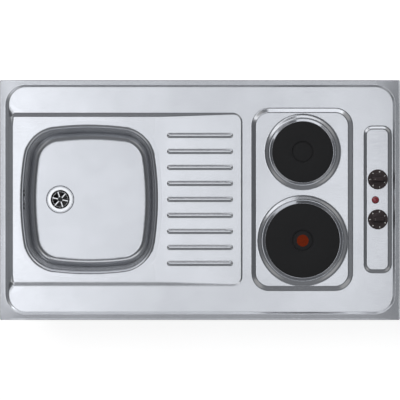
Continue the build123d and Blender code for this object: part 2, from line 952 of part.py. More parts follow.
def plate_pins(y):
    """The four pins of a plate's terminal block."""
    x, places, z = pin_places(y)
    return [across(1, p, z, plate_pin_radius, x - plate_pin_length, x + plate_pin_length) for p in places]


def red_dot():
    """The enamel spot that marks the quick plate."""
    top, _, _ = plate_levels()
    low = top - plate_recess_depth
    return drum(plate_x, front_plate_y, low, low + red_dot_thickness, red_dot_radius)


# Controls
switch_top_z = control_z - sheet - bracket_drop - bracket_sheet
switch_low_z = switch_top_z - switch_height
cam_low_z = switch_low_z + switch_wall
cam_high_z = switch_top_z - switch_wall
knob_low_z = control_z + knob_gap


def knob(y):
    """The round knob: a skirt, a domed hub and a grip bar that points to the left."""
    skirt = drum(knob_x, y, knob_low_z, knob_low_z + knob_skirt, knob_radius)
    skirt = fillet(skirt.edges().sort_by(Axis.Z)[-1], knob_skirt / 2)
    hub_top = knob_low_z + knob_skirt + knob_gap
    body = skirt + drum(knob_x, y, knob_low_z, hub_top, knob_hub_radius)
    grip = extrude(
        Pos(knob_x, y, knob_low_z) * SlotOverall(knob_grip_length, knob_grip_width), knob_grip_height
    )
    body = body + fillet(top_edges(grip), knob_skirt / 2)
    bore_top = knob_low_z + knob_bore_depth
    return body - spindle_section(y, knob_low_z, bore_top, spindle_clearance)


def spindle_section(y, low, high, grow):
    """A stretch of the spindle with its flat, grown by a margin."""
    round_part = drum(knob_x, y, low, high, spindle_radius + grow)
    edge = spindle_radius - spindle_flat + grow
    flat = between((knob_x + edge, y - above, low), (knob_x + above, y + above, high))
    return round_part - flat


def spindle(y):
    """The switch's spindle, from its lower bearing into the knob."""
    bore_top = knob_low_z + knob_bore_depth
    lower = drum(knob_x, y, switch_low_z + switch_wall / 2, knob_low_z, spindle_radius)
    return lower + spindle_section(y, knob_low_z, bore_top - spindle_clearance, 0)


def cam(y):
    """The notched drum on the spindle that works the contacts."""
    low, high = cam_low_z + cam_clearance, cam_high_z - cam_clearance
    body = drum(knob_x, y, low, high, cam_radius)
    for i in range(cam_notch_count):
        turn = 2 * math.pi * i / cam_notch_count
        x, off = knob_x + cam_radius * math.cos(turn), cam_radius * math.sin(turn)
        body = body - drum(x, y + off, low, high, cam_notch)
    return body - drum(knob_x, y, low, high, spindle_radius)


def tab_boxes(y):
    """The corners of a switch's contact tabs, which leave it to the left."""
    near = knob_x - cam_radius - tab_gap
    far = knob_x - switch_side / 2 - tab_reach
    boxes = []
    for height in tab_heights:
        for side in (-1, 1):
            middle = y + side * tab_offset_y
            z = switch_low_z + height
            boxes.append(
                (
                    (far, middle - tab_width / 2, z - tab_thickness / 2),
                    (near + tab_gap, middle + tab_width / 2, z + tab_thickness / 2),
                )
            )
    return boxes


def cam_room(y, radius):
    """The space that the cam needs, at a radius."""
    return drum(knob_x, y, cam_low_z, cam_high_z, radius)


def switch_contacts(y):
    """The four contact tabs of a switch."""
    return [between(low, high) - cam_room(y, cam_radius + tab_gap) for low, high in tab_boxes(y)]


def switch_body(y):
    """The moulded housing of a seven-position switch."""
    half = switch_side / 2
    body = between((knob_x - half, y - half, switch_low_z), (knob_x + half, y + half, switch_top_z))
    body = body - cam_room(y, cam_cavity_radius)
    bearing = spindle_radius + spindle_clearance
    body = body - drum(knob_x, y, switch_low_z + switch_wall / 2, switch_top_z, bearing)
    for low, high in tab_boxes(y):
        body = body - between(low, high)
    for side in (-1, 1):
        body = body - switch_screw_shank(y, side)
    return body


def switch_screw_shank(y, side):
    """The shank of one of a switch's two fixing screws."""
    top = switch_top_z + bracket_sheet
    return drum(knob_x, y + side * switch_screw_offset, top - switch_screw_length, top, switch_screw_radius)


def switch_bracket():
    """The hat-shaped strip under the control island that carries both switches."""
    foot_z = control_z - sheet
    deck = switch_top_z
    half, foot = bracket_half_length, bracket_half_length + bracket_foot
    leg = bracket_sheet
    section = [
        (-foot, foot_z),
        (-half, foot_z),
        (-half, deck + leg),
        (half, deck + leg),
        (half, foot_z),
        (foot, foot_z),
        (foot, foot_z - leg),
        (half + leg, foot_z - leg),
        (half + leg, deck),
        (-half - leg, deck),
        (-half - leg, foot_z - leg),
        (-foot, foot_z - leg),
    ]
    side_x = knob_x - bracket_width / 2
    hat = make_face(Polyline(*[(side_x, press_shift_y + y, z) for y, z in section], close=True))
    bracket = extrude(hat, bracket_width, dir=(1, 0, 0))
    for y in knob_places.values():
        bracket = bracket - drum(knob_x, y, deck, deck + leg, spindle_hole_radius)
        for side in (-1, 1):
            bracket = bracket - switch_screw_shank(y, side)
    lamp_room = lamp_nut_radius + hole_clearance
    return bracket - drum(lamp_x, lamp_y, deck, deck + leg, lamp_room)


def switch_screws():
    """The screws that hold the switches to their bracket."""
    top = switch_top_z + bracket_sheet
    screws = []
    for y in knob_places.values():
        for side in (-1, 1):
            head = drum(
                knob_x, y + side * switch_screw_offset, top, top + switch_screw_head, switch_screw_head_radius
            )
            screws.append(head + switch_screw_shank(y, side))
    return screws


def plug_corners(y):
    """The corners of the plug on a switch's tabs."""
    half = tab_offset_y + tab_width / 2 + plug_wall
    margin = tab_thickness / 2 + plug_wall
    side_x = knob_x - switch_side / 2
    low = (side_x - tab_reach - plug_wall, y - half, switch_low_z + min(tab_heights) - margin)
    return low, (side_x - plug_gap, y + half, switch_low_z + max(tab_heights) + margin)


# Pilot lamp
def lamp_lens():
    """The domed red lens."""
    low = control_z + lamp_bezel_height
    lens = drum(lamp_x, lamp_y, low, low + lamp_lens_rise, lamp_lens_radius)
    return fillet(lens.edges().sort_by(Axis.Z)[-1], lamp_lens_rise - dome_land)


def lamp_holder():
    """The lamp's bezel and barrel."""
    low = control_z - lamp_barrel_length
    barrel = lamp_hole_radius - hole_clearance / 4
    body = drum(lamp_x, lamp_y, low, control_z, barrel)
    body = body + drum(lamp_x, lamp_y, control_z, control_z + lamp_bezel_height, lamp_bezel_radius)
    bore = barrel - lamp_barrel_wall
    return body - drum(lamp_x, lamp_y, low + lamp_barrel_wall, control_z + lamp_bezel_height, bore)


def lamp_bulb():
    """The neon tube inside the lamp's barrel."""
    low = control_z - lamp_barrel_length + lamp_barrel_wall
    radius = (lamp_hole_radius - lamp_barrel_wall) / 2
    bulb = drum(lamp_x, lamp_y, low, control_z + lamp_bezel_height / 2, radius)
    return fillet(bulb.edges().sort_by(Axis.Z)[-1], radius - dome_land)


def lamp_nut():
    """The push-on ring that holds the lamp from below."""
    top = control_z - sheet
    barrel = lamp_hole_radius - hole_clearance / 4
    return tube(lamp_x, lamp_y, top - lamp_nut_thickness, top, lamp_nut_radius, barrel)


# Tray and supply
tray_low_z = panel_under_z - tray_depth
tray_floor_z = tray_low_z + tray_sheet
inlet_x = knob_x - (switch_side + tab_reach + plug_wall + plug_gap) / 2
inlet_y = press_shift_y + tray_half_depth - tray_sheet - inlet_wall_gap


def tray_studs_places():
    """The places of the studs that hold the tray's flanges."""
    edge = tray_flange / 2
    side_y = tray_half_depth + edge
    along = (tray_left_x + tray_stud_inset, tray_right_x - tray_stud_inset)
    places = [(x, press_shift_y + s * side_y) for x in along for s in (-1, 1)]
    return places + [(tray_left_x - edge, press_shift_y + s * tray_half_depth / 2) for s in (-1, 1)]


def electrics_tray():
    """The sheet tray that covers the hotplates and switches from below."""
    low_y, high_y = press_shift_y - tray_half_depth, press_shift_y + tray_half_depth
    shell = between((tray_left_x, low_y, tray_low_z), (tray_right_x, high_y, panel_under_z))
    shell = shell - between(
        (tray_left_x + tray_sheet, low_y + tray_sheet, tray_floor_z),
        (tray_right_x - tray_sheet, high_y - tray_sheet, panel_under_z),
    )
    flange_low = panel_under_z - tray_sheet
    for a, b in (
        ((tray_left_x - tray_flange, low_y - tray_flange), (tray_right_x, low_y)),
        ((tray_left_x - tray_flange, high_y), (tray_right_x, high_y + tray_flange)),
        ((tray_left_x - tray_flange, low_y), (tray_left_x, high_y)),
    ):
        shell = shell + between((*a, flange_low), (*b, panel_under_z))
    under_island = control_z - sheet - control_rise - tray_sheet
    shell = shell - between(
        (tray_right_x - tray_sheet, low_y + tray_sheet, under_island),
        (tray_right_x, high_y - tray_sheet, panel_under_z),
    )
    for x, y in tray_studs_places():
        shell = shell - drum(x, y, flange_low, panel_under_z, tray_stud_radius + hole_clearance)
    return shell - inlet_cylinder(inlet_thread_radius, -above, above)


def tray_studs():
    """Studs welded under the worktop."""
    top = panel_under_z
    return [drum(x, y, top - tray_stud_length, top, tray_stud_radius) for x, y in tray_studs_places()]


def tray_nuts():
    """The nuts that hold the tray."""
    top = panel_under_z - tray_sheet
    nuts = []
    for x, y in tray_studs_places():
        nut = hexagon(x, y, top - tray_nut_height, top, tray_nut_across_flats)
        nuts.append(nut - drum(x, y, top - tray_nut_height, top, tray_stud_radius))
    return nuts


def inlet_place():
    """The middle of the supply inlet on the tray's underside, facing down."""
    return Plane((inlet_x, inlet_y, tray_low_z), x_dir=(1, 0, 0), z_dir=(0, 0, -1))


def inlet_cylinder(radius, low, high):
    """A cylinder on the inlet's axis, from one depth to another."""
    return inlet_place() * Pos(0, 0, (low + high) / 2) * Cylinder(radius, high - low)


def supply_gland():
    """The gland that a supply cable goes through."""
    outer = inlet_cylinder(inlet_body_radius, 0, inlet_body_length)
    outer = fillet(outer.edges().sort_by(Axis.Z)[0], inlet_body_radius - inlet_thread_radius)
    inner = inlet_cylinder(inlet_thread_radius, -tray_sheet - 2 * inlet_nut_height, 0)
    return outer + inner - inlet_cylinder(inlet_bore, -2 * above, 2 * inlet_body_length)


def gland_nut():
    """The nut on the inside of the gland."""
    flat = RegularPolygon(inlet_nut_across_flats / 2, 6, major_radius=False)
    nut = extrude(inlet_place() * Pos(0, 0, -tray_sheet) * flat, -inlet_nut_height)
    return nut - inlet_cylinder(inlet_thread_radius, -2 * above, 0)


def block_corners():
    """The corners of the supply terminal block on the tray's floor."""
    high_y = inlet_y - inlet_nut_across_flats / math.sqrt(3) - block_gap
    low = (inlet_x - block_length / 2, high_y - block_depth, tray_floor_z)
    return low, (inlet_x + block_length / 2, high_y, tray_floor_z + block_height)


def block_screw_places():
    """The places of the terminal block's screws."""
    low, high = block_corners()
    step = (high[0] - low[0]) / block_poles
    middle = (low[1] + high[1]) / 2
    return [(low[0] + step * (i + 0.5), middle) for i in range(block_poles)]


def supply_block():
    """The terminal block where a supply cable ends."""
    low, high = block_corners()
    block = between(low, high)
    for x, y in block_screw_places():
        block = block - drum(x, y, high[2] - block_height / 2, high[2], block_screw_radius)
    return block


def block_screws():
    """The screws of the terminal block."""
    _, high = block_corners()
    low = high[2] - block_height / 2
    return [drum(x, y, low, high[2] + block_screw_head, block_screw_radius) for x, y in block_screw_places()]


# Leads
def sleeve(points):
    """A sleeved bundle of leads along straight runs joined by arcs."""
    route = FilletPolyline(*points, radius=lead_bend)
    return sweep(Plane(route @ 0, z_dir=route % 0) * Circle(lead_radius), route)


def plate_plug(y):
    """The plug on a plate's pins, and the middle of the face where its leads leave."""
    pin_x, places, z = pin_places(y)
    margin = plate_pin_radius + plug_wall
    end_x = pin_x + plate_pin_length + plug_wall
    plug = between(
        (pin_x + plug_gap, min(places) - margin, z - margin), (end_x, max(places) + margin, z + margin)
    )
    for pin in plate_pins(y):
        plug = plug - pin
    return plug, (end_x, sum(places) / len(places), z)


def switch_plug(y):
    """The plug on a switch's tabs."""
    low, high = plug_corners(y)
    plug = between(low, high)
    for tab in switch_contacts(y):
        plug = plug - tab
    return plug


def plate_lead(name):
    """The leads from a switch's tabs to its plate's pins, with a plug at each end."""
    y = knob_places[name]
    low, high = plug_corners(y)
    plug, (end_x, end_y, end_z) = plate_plug(plates[name][0])
    start_z = (low[2] + high[2]) / 2
    middle_x = (low[0] + end_x) / 2
    leads = sleeve(
        [(low[0], y, start_z), (middle_x, y, start_z), (middle_x, end_y, end_z), (end_x, end_y, end_z)]
    )
    return leads + plug + switch_plug(y)


def supply_leads():
    """The leads from the supply block to the rear switch's plug, and on to the front one."""
    rear_low, rear_high = plug_corners(knob_places["rear"])
    _, front_high = plug_corners(knob_places["front"])
    block_low, _ = block_corners()
    z = rear_low[2] + lead_radius + plug_gap
    runs = []
    for start, end in ((rear_high[1], block_low[1]), (front_high[1], rear_low[1])):
        place = Pos(inlet_x, (start + end) / 2, z) * Rot(90, 0, 0)
        runs.append(place * Cylinder(lead_radius, end - start))
    return runs


def save(node, shape):
    """Writes one node's solids."""
    solids = shape if isinstance(shape, list) else [shape]
    parts = [s for item in solids for s in item.solids()]
    export_step(parts[0] if len(parts) == 1 else Compound(children=parts), f"parts/{node}.step")
    print(node, len(parts), "solids", round(sum(s.volume for s in parts)), "mm3")


def main():
    os.makedirs("parts", exist_ok=True)
    save("worktop_sheet", worktop())
    save("sink_bowl", sink_bowl())
    save("bowl_sound_pad", sound_pad())
    save("waste_flange", waste_flange())
    save("waste_screw", waste_screw())
    save("waste_body", waste_body())
    save("waste_upper_seal", waste_seal(seat_z))
    save("waste_lower_seal", waste_seal(body_top_z))
    save("overflow_head", overflow_head())
    save("overflow_seal", overflow_seal())
    save("overflow_screw", overflow_screw())
    save("overflow_pipe", overflow_pipe())
    for node, batten in battens().items():
        for screw in strap_screws():
            batten = batten - screw
        save(node, batten)
    save("fixing_straps", fixing_straps())
    save("strap_screws", strap_screws())
    for name, (y, radius, collar_radius) in plates.items():
        save(f"{name}_hotplate", hotplate(y, radius))
        save(f"{name}_heating_core", heating_core(y, radius))
        save(f"{name}_base_pan", base_pan(y, radius))
        save(f"{name}_trim_ring", trim_ring(y, radius, collar_radius))
        save(f"{name}_clamp_bridge", clamp_bridge(y, collar_radius))
        save(f"{name}_plate_terminal", plate_terminal(y))
        save(f"{name}_plate_leads", plate_lead(name))
    plate_ys = [y for y, _, _ in plates.values()]
    save("centre_studs", [centre_stud(y) for y in plate_ys])
    save("clamp_nuts", [clamp_nut(y) for y in plate_ys])
    save("plate_pins", [pin for y in plate_ys for pin in plate_pins(y)])
    save("front_red_dot", red_dot())
    for name, y in knob_places.items():
        save(f"{name}_knob", knob(y))
        save(f"{name}_spindle", spindle(y))
        save(f"{name}_cam", cam(y))
        save(f"{name}_switch_body", switch_body(y))
    save("switch_contacts", [tab for y in knob_places.values() for tab in switch_contacts(y)])
    save("switch_bracket", switch_bracket())
    save("switch_screws", switch_screws())
    save("lamp_lens", lamp_lens())
    save("lamp_holder", lamp_holder())
    save("lamp_bulb", lamp_bulb())
    save("lamp_nut", lamp_nut())
    save("electrics_tray", electrics_tray())
    save("tray_studs", tray_studs())
    save("tray_nuts", tray_nuts())
    save("supply_gland", supply_gland())
    save("gland_nut", gland_nut())
    save("supply_block", supply_block())
    save("block_screws", block_screws())
    save("supply_leads", supply_leads())


main()
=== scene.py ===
# %% [markdown]
# A sink and stove unit is mostly one sheet of pressed steel. Seen from straight above, flat steel
# mirrors what hangs over it and each bend mirrors something else, so it is the bends that draw the
# shape. Most of the work below therefore goes into true bends, into the steel's finish and into what
# the steel has to mirror. The solid model is loaded first: it gives every piece its place and size,
# and it is never moved.

import json
import math

import bmesh
import bpy
import numpy as np
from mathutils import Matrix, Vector
from mathutils.geometry import delaunay_2d_cdt


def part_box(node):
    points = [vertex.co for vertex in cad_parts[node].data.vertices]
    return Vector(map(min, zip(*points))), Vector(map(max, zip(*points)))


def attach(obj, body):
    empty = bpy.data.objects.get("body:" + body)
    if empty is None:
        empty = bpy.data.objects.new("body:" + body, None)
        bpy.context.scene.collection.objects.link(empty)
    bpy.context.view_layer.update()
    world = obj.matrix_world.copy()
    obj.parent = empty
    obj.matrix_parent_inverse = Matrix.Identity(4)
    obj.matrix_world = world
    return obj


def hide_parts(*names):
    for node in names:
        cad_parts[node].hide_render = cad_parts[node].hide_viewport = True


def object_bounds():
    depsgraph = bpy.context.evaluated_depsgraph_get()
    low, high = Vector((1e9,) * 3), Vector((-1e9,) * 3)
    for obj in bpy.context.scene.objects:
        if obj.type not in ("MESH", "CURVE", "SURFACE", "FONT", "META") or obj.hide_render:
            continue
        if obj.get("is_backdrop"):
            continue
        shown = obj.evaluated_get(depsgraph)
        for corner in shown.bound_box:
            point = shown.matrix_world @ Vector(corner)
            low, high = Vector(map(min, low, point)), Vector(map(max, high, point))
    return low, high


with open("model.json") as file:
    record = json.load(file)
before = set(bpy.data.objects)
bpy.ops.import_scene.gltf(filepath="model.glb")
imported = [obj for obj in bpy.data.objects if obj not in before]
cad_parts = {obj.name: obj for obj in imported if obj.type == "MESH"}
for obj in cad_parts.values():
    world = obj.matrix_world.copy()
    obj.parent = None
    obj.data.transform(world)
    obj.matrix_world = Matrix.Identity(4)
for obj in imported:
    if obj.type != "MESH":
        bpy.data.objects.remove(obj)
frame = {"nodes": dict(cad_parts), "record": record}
cad_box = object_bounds()
MM = 0.001


def box_mm(node):
    """The lowest and highest corner of a node, in millimetres."""
    low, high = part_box(node)
    return np.array(low) / MM, np.array(high) / MM


def middle_mm(node):
    """The middle of a node, in millimetres."""
    low, high = box_mm(node)
    return (low + high) / 2


for title, corner in zip(("solid model from", "to"), cad_box):
    print(title, [round(v, 4) for v in corner])

# %% [markdown]
# Every piece made here is a mesh of points and faces. A small helper turns points in millimetres into
# an object, lets it ride on a body of the solid model and hides the nodes that it stands for. Sizes
# in millimetres are easier to compare with a ruler, so they become metres only where they are handed
# to Blender. An edge that has only one face is the border of a sheet, and it stays crisp too.

# %% A helper that makes a piece
def make_piece(name, points, faces, body, replaced=(), sharp=40.0):
    """A smooth mesh piece from points in millimetres, crisp at edges sharper than an angle."""
    mesh = bpy.data.meshes.new(name)
    mesh.from_pydata([[c * MM for c in point] for point in points], [], faces)
    mesh.shade_smooth()
    mesh.set_sharp_from_angle(angle=math.radians(sharp))
    shared = np.zeros(len(mesh.edges), dtype=int)
    np.add.at(shared, [loop.edge_index for loop in mesh.loops], 1)
    for edge_number in np.flatnonzero(shared == 1):
        mesh.edges[int(edge_number)].use_edge_sharp = True
    piece = bpy.data.objects.new(name, mesh)
    bpy.context.scene.collection.objects.link(piece)
    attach(piece, body)
    if replaced:
        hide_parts(*replaced)
    print(name, len(mesh.vertices), "points", len(mesh.polygons), "faces")
    return piece


# %% [markdown]
# The worktop is a sheet that a press has pushed up and down by a few millimetres. It could be
# modelled face by face and bevelled, but its bends cross and run into each other. A height for every
# place in plan is simpler: each pressed field is a slope that is cut off at the field's level, and
# where a slope meets a flat, the two heights are blended over a short stretch, which is the bend's
# radius.

# %% Blending heights and measuring distance to an outline
def soft_lower(a, b, blend):
    """The lower of two heights, with the corner between them rounded."""
    overlap = np.maximum(blend - np.abs(a - b), 0) / blend
    return np.minimum(a, b) - overlap**2 * blend / 4


def soft_upper(a, b, blend):
    """The higher of two heights, with the corner between them rounded."""
    return -soft_lower(-a, -b, blend)


def outside_by(x, y, centre, half, corner):
    """The distance outside a rounded rectangle, negative inside it, and which way is out."""
    qx = np.abs(x - centre[0]) - (half[0] - corner)
    qy = np.abs(y - centre[1]) - (half[1] - corner)
    ox, oy = np.maximum(qx, 0), np.maximum(qy, 0)
    beyond = np.hypot(ox, oy)
    distance = beyond + np.minimum(np.maximum(qx, qy), 0) - corner
    safe = np.where(beyond > 0, beyond, 1)
    out_x = np.where(beyond > 0, ox / safe, qx > qy) * np.sign(x - centre[0])
    out_y = np.where(beyond > 0, oy / safe, qy >= qx) * np.sign(y - centre[1])
    return distance, out_x, out_y


print("a blend of 1 mm takes", -soft_lower(0.0, 0.0, 1.0), "mm off a corner")

# %% [markdown]
# These are the sheet's levels and outlines. They could all be typed in, but where the solid model has
# a node at a place, the value is read from that node, so the bends made here lie where the solids
# are. The rest are the widths of the slopes, as they show in the plan.

# %% Levels and outlines of the sheet
_, sheet_high = box_mm("worktop_sheet")
bowl_low, bowl_high = box_mm("sink_bowl")
edge = sheet_high[:2]
rim_z, panel_z, sink_z = 40.0, 35.0, bowl_high[2]
drainer_end_z, hob_z, control_z, collar_z = 33.0, 41.0, 39.0, sheet_high[2]
shift_y = (bowl_low[1] + bowl_high[1]) / 2

rim = {"centre": (0.75, shift_y), "half": (486.75, 286.2), "corner": 50.0}
rim_slope, left_slope = 1.0, 11.0 / 17.0
rim_left_x = rim["centre"][0] - rim["half"][0]
sink_right_x, sink_far_left_x = 106.0, -700.0
sink = {
    "centre": ((sink_far_left_x + sink_right_x) / 2, shift_y),
    "half": ((sink_right_x - sink_far_left_x) / 2, 216.5),
    "corner": 24.0,
}
sink_slope = 0.632
drainer_x = (bowl_high[0] + 1.1, 102.8)
hob = {"centre": (255.25, shift_y), "half": (126.25, 228.0), "corner": 44.0}
hob_slope = 6.0 / 10.5
control = {"centre": (444.0, shift_y), "half": (34.5, 183.5), "corner": 22.0}
control_slope = 4.0 / 7.5
print("sheet", edge * 2, "mm, bowl", bowl_low[:2], bowl_high[:2])

# %% [markdown]
# The plates, the ribs and the knobs repeat, so each is a short list of places, and a loop makes them
# all. The collar under a plate is a cone in the sheet that carries the plate's trim ring. A rib is a
# bead with a flat crest and steep sides, which is why it shows as a bright line between dark ones.

# %% Places of the plates, ribs and controls
sides = ("rear", "front")
collar_slope, collar_run, collar_land, ring_gap = 0.5, 10.0, 5.0, 0.4
plates, knobs = {}, {}
for name in sides:
    low, high = box_mm(f"{name}_hotplate")
    ring_low, ring_high = box_mm(f"{name}_trim_ring")
    trim_radius = (ring_high[0] - ring_low[0]) / 2
    plates[name] = {
        "centre": (low[:2] + high[:2]) / 2,
        "radius": (high[0] - low[0]) / 2,
        "foot": low[2],
        "top": high[2],
        "trim": trim_radius,
        "collar": trim_radius + ring_gap + collar_run,
    }
    low, high = box_mm(f"{name}_knob")
    knobs[name] = {"place": (low + high) / 2, "foot": low[2], "top": high[2]}
rib_count, rib_pitch, rib_half, rib_height, rib_slope = 9, 40.0, 6.1, 2.7, 0.68
rib_ends = (-82.4, 82.2)
rib_places = [shift_y + (i - (rib_count - 1) / 2) * rib_pitch for i in range(rib_count)]
lamp_place = middle_mm("lamp_holder")
for name, plate in plates.items():
    print(name, "plate at", plate["centre"].round(1), "radius", round(plate["radius"], 1), "mm")

# %% [markdown]
# Now the height itself. The rim is not quite flat on a real top: the press pulls it down a little
# towards the fold. That is why it looks darker than the panel next to it, so the rim gets a slight
# fall here, with a value for each side. The fields are added from the outside in: rim, sink field,
# ribs, raised fields and collars.

# %% The height of the sheet at any place
rim_fall = {"left": 0.055, "right": 0.06, "rear": 0.043, "front": 0.064}
rim_blend, sink_blend, island_blend, collar_blend = 0.7, 0.55, 0.9, 1.3
rib_blend, rib_crest_blend = 0.4, 0.9


def rim_slopes(out_x, out_y):
    """The slope inside the rim and the fall of the rim itself, by the direction that is out."""
    left, right = np.maximum(-out_x, 0) ** 2, np.maximum(out_x, 0) ** 2
    front, rear = np.maximum(-out_y, 0) ** 2, np.maximum(out_y, 0) ** 2
    fall = left * rim_fall["left"] + right * rim_fall["right"]
    fall = fall + front * rim_fall["front"] + rear * rim_fall["rear"]
    return rim_slope + left * (left_slope - rim_slope), fall


def drainer_height(x):
    """The level of the sink field, which rises along the drainer."""
    along = (x - drainer_x[0]) / (drainer_x[1] - drainer_x[0])
    return sink_z + np.clip(along, 0, 1) * (drainer_end_z - sink_z)


def rib_distance(x, y):
    """The distance from the middle line of the nearest rib."""
    index = np.clip(np.round((y - rib_places[0]) / rib_pitch), 0, rib_count - 1)
    off_y = y - (rib_places[0] + index * rib_pitch)
    off_x = np.maximum(rib_ends[0] + rib_half - x, x - (rib_ends[1] - rib_half))
    return np.hypot(np.maximum(off_x, 0), off_y)


def sheet_height(x, y):
    """The height of the sheet's upper face."""
    out, out_x, out_y = outside_by(x, y, **rim)
    slope, fall = rim_slopes(out_x, out_y)
    height = rim_z - np.maximum(out, 0) * fall
    height = soft_lower(height, soft_upper(rim_z + out * slope, panel_z, rim_blend), rim_blend)
    out, _, _ = outside_by(x, y, **sink)
    left_wall = rim_z - (x - rim_left_x) * left_slope
    walls = soft_upper(panel_z + out * sink_slope, left_wall, sink_blend)
    height = soft_lower(height, soft_upper(walls, drainer_height(x), sink_blend), sink_blend)
    side = (rib_half - rib_distance(x, y)) * rib_slope
    bead = drainer_height(x) + soft_lower(side, rib_height, rib_crest_blend)
    height = np.where(x < sink_right_x, soft_upper(height, bead, rib_blend), height)
    for field, slope, top in ((hob, hob_slope, hob_z), (control, control_slope, control_z)):
        out, _, _ = outside_by(x, y, **field)
        island = soft_lower(panel_z - out * slope, top, island_blend)
        height = soft_upper(height, island, island_blend)
    for plate in plates.values():
        out = np.hypot(x - plate["centre"][0], y - plate["centre"][1]) - plate["collar"]
        cone = soft_lower(hob_z - out * collar_slope, collar_z, collar_blend)
        height = soft_upper(height, cone, collar_blend)
    return height


spots = {"rim": -490.0, "panel": 115.0, "control field": 444.0}
levels = sheet_height(np.array(list(spots.values())), np.zeros(len(spots)))
print("levels of", list(spots), levels.round(2), "mm")

# %% [markdown]
# A mesh shows a bend well when its points run in rings along the bend: five rings carry the curve,
# and one more on each side keeps the flats beside it truly flat, so that they mirror without a smear.
# A remeshed grid would need hundreds of thousands of points for the same look. The rings are laid out
# in plan, joined by a Delaunay triangulation, and only then lifted to their heights.

# %% Outlines in plan and the rings along a bend
arc_steps, run_step, flat_guard = 14, 30.0, 0.8


def rounded_outline(centre, half, corner):
    """The points of a rounded rectangle, anticlockwise, and their outward normals."""
    corners = []
    for turn, (sx, sy) in enumerate(((1, 1), (-1, 1), (-1, -1), (1, -1))):
        middle = np.array(centre) + (sx * (half[0] - corner), sy * (half[1] - corner))
        angles = np.linspace(turn, turn + 1, arc_steps + 1) * math.pi / 2
        normals = np.stack([np.cos(angles), np.sin(angles)], axis=1)
        corners.append((middle + corner * normals, normals))
    points, normals = [], []
    for (arc, arc_normals), (after, _) in zip(corners, corners[1:] + corners[:1]):
        points.extend(arc)
        normals.extend(arc_normals)
        steps = int(np.linalg.norm(after[0] - arc[-1]) // run_step)
        for i in range(1, steps):
            points.append(arc[-1] + (after[0] - arc[-1]) * i / steps)
            normals.append(arc_normals[-1])
    return np.array(points), np.array(normals)


def circle(centre, radius, steps=160):
    """The points of a circle."""
    angles = np.arange(steps) * 2 * math.pi / steps
    return np.array(centre[:2]) + radius * np.stack([np.cos(angles), np.sin(angles)], axis=1)


def bend(at, blend, slope):
    """The offsets of the rings along a bend between a flat and a slope."""
    width = blend / slope
    reach = width + flat_guard
    return [at + d for d in (-reach, -width, -width / 2, 0.0, width / 2, width, reach)]


print("rings along the rim's bend at", np.round(bend(0.0, rim_blend, rim_slope), 2), "mm")

# %% [markdown]
# The bowl's outline has four bowed sides and large corners. It could be drawn as a curve by hand, but
# all its arcs keep their centres when the outline grows or shrinks, so one set of centres and angles
# gives the edge of the opening in the sheet and every ring beside it.

# %% The outline of the bowl
bowl_centre = (bowl_low[:2] + bowl_high[:2]) / 2
bowl_flange, bowl_bow, bowl_corner, bowl_steps = 8.0, 725.0, 90.0, 26
bowl_half = (bowl_high[:2] - bowl_low[:2]) / 2 - bowl_flange


def bowl_outline(grow):
    """The bowl's outline in plan, grown by a margin, anticlockwise."""
    side = np.array([bowl_half[0] - bowl_bow, 0.0])
    end = np.array([0.0, bowl_half[1] - bowl_bow])
    apart = end - side
    reach = math.sqrt((bowl_bow - bowl_corner) ** 2 - (np.linalg.norm(apart) / 2) ** 2)
    across = np.array([apart[1], -apart[0]]) / np.linalg.norm(apart)
    middle = (side + end) / 2 + across * (reach if across[0] > 0 else -reach)
    start, stop = math.atan2(*(middle - side)[::-1]), math.atan2(*(middle - end)[::-1])
    runs = [
        (side, bowl_bow, np.linspace(0, start, bowl_steps // 2, endpoint=False)),
        (middle, bowl_corner, np.linspace(start, stop, bowl_steps, endpoint=False)),
        (end, bowl_bow, np.linspace(stop, math.pi / 2, bowl_steps // 2, endpoint=False)),
    ]
    quarter = []
    for centre, radius, angles in runs:
        turns = np.stack([np.cos(angles), np.sin(angles)], axis=1)
        quarter.extend(centre + (radius + grow) * turns)
    mirrored = [np.array([0.0, bowl_half[1] + grow])] + quarter[:0:-1]
    points = []
    for arc, flip in ((quarter, (1, 1)), (mirrored, (-1, 1)), (quarter, (-1, -1)), (mirrored, (1, -1))):
        points.extend([bowl_centre + np.array(flip) * p for p in arc])
    return np.array(points)


mouth = bowl_outline(bowl_flange)
print("bowl opening", (mouth.max(axis=0) - mouth.min(axis=0)).round(1), "mm")

# %% [markdown]
# Now the rings go into one plan: the border, the rim, the sink field with its mitred left wall, the
# raised fields and the collars. The sink field's outline runs on past the left wall, so only the part
# that the wall leaves free is laid.

# %% Lay out the rings of the pressed fields
plan_points, plan_edges = [], []


def lay(points, closed=True):
    """Adds a line of points to the plan and returns the numbers of its points."""
    first, count = len(plan_points), len(points)
    plan_points.extend([Vector((float(p[0]), float(p[1]))) for p in points])
    links = range(count if closed else count - 1)
    plan_edges.extend([(first + i, first + (i + 1) % count) for i in links])
    return list(range(first, first + count))


fold_radius, border_corner = 2.5, 0.5
border, border_normals = rounded_outline((0, 0), edge - fold_radius, border_corner)
border_numbers = lay(border)
lay(border - border_normals * flat_guard)

outline, normals = rounded_outline(**rim)
slopes, _ = rim_slopes(normals[:, 0], normals[:, 1])
for offset in bend(0.0, rim_blend, rim_slope):
    lay(outline + normals * offset)
for offset in bend(0.0, rim_blend, rim_slope):
    lay(outline + normals * (offset - (rim_z - panel_z) / slopes)[:, None])

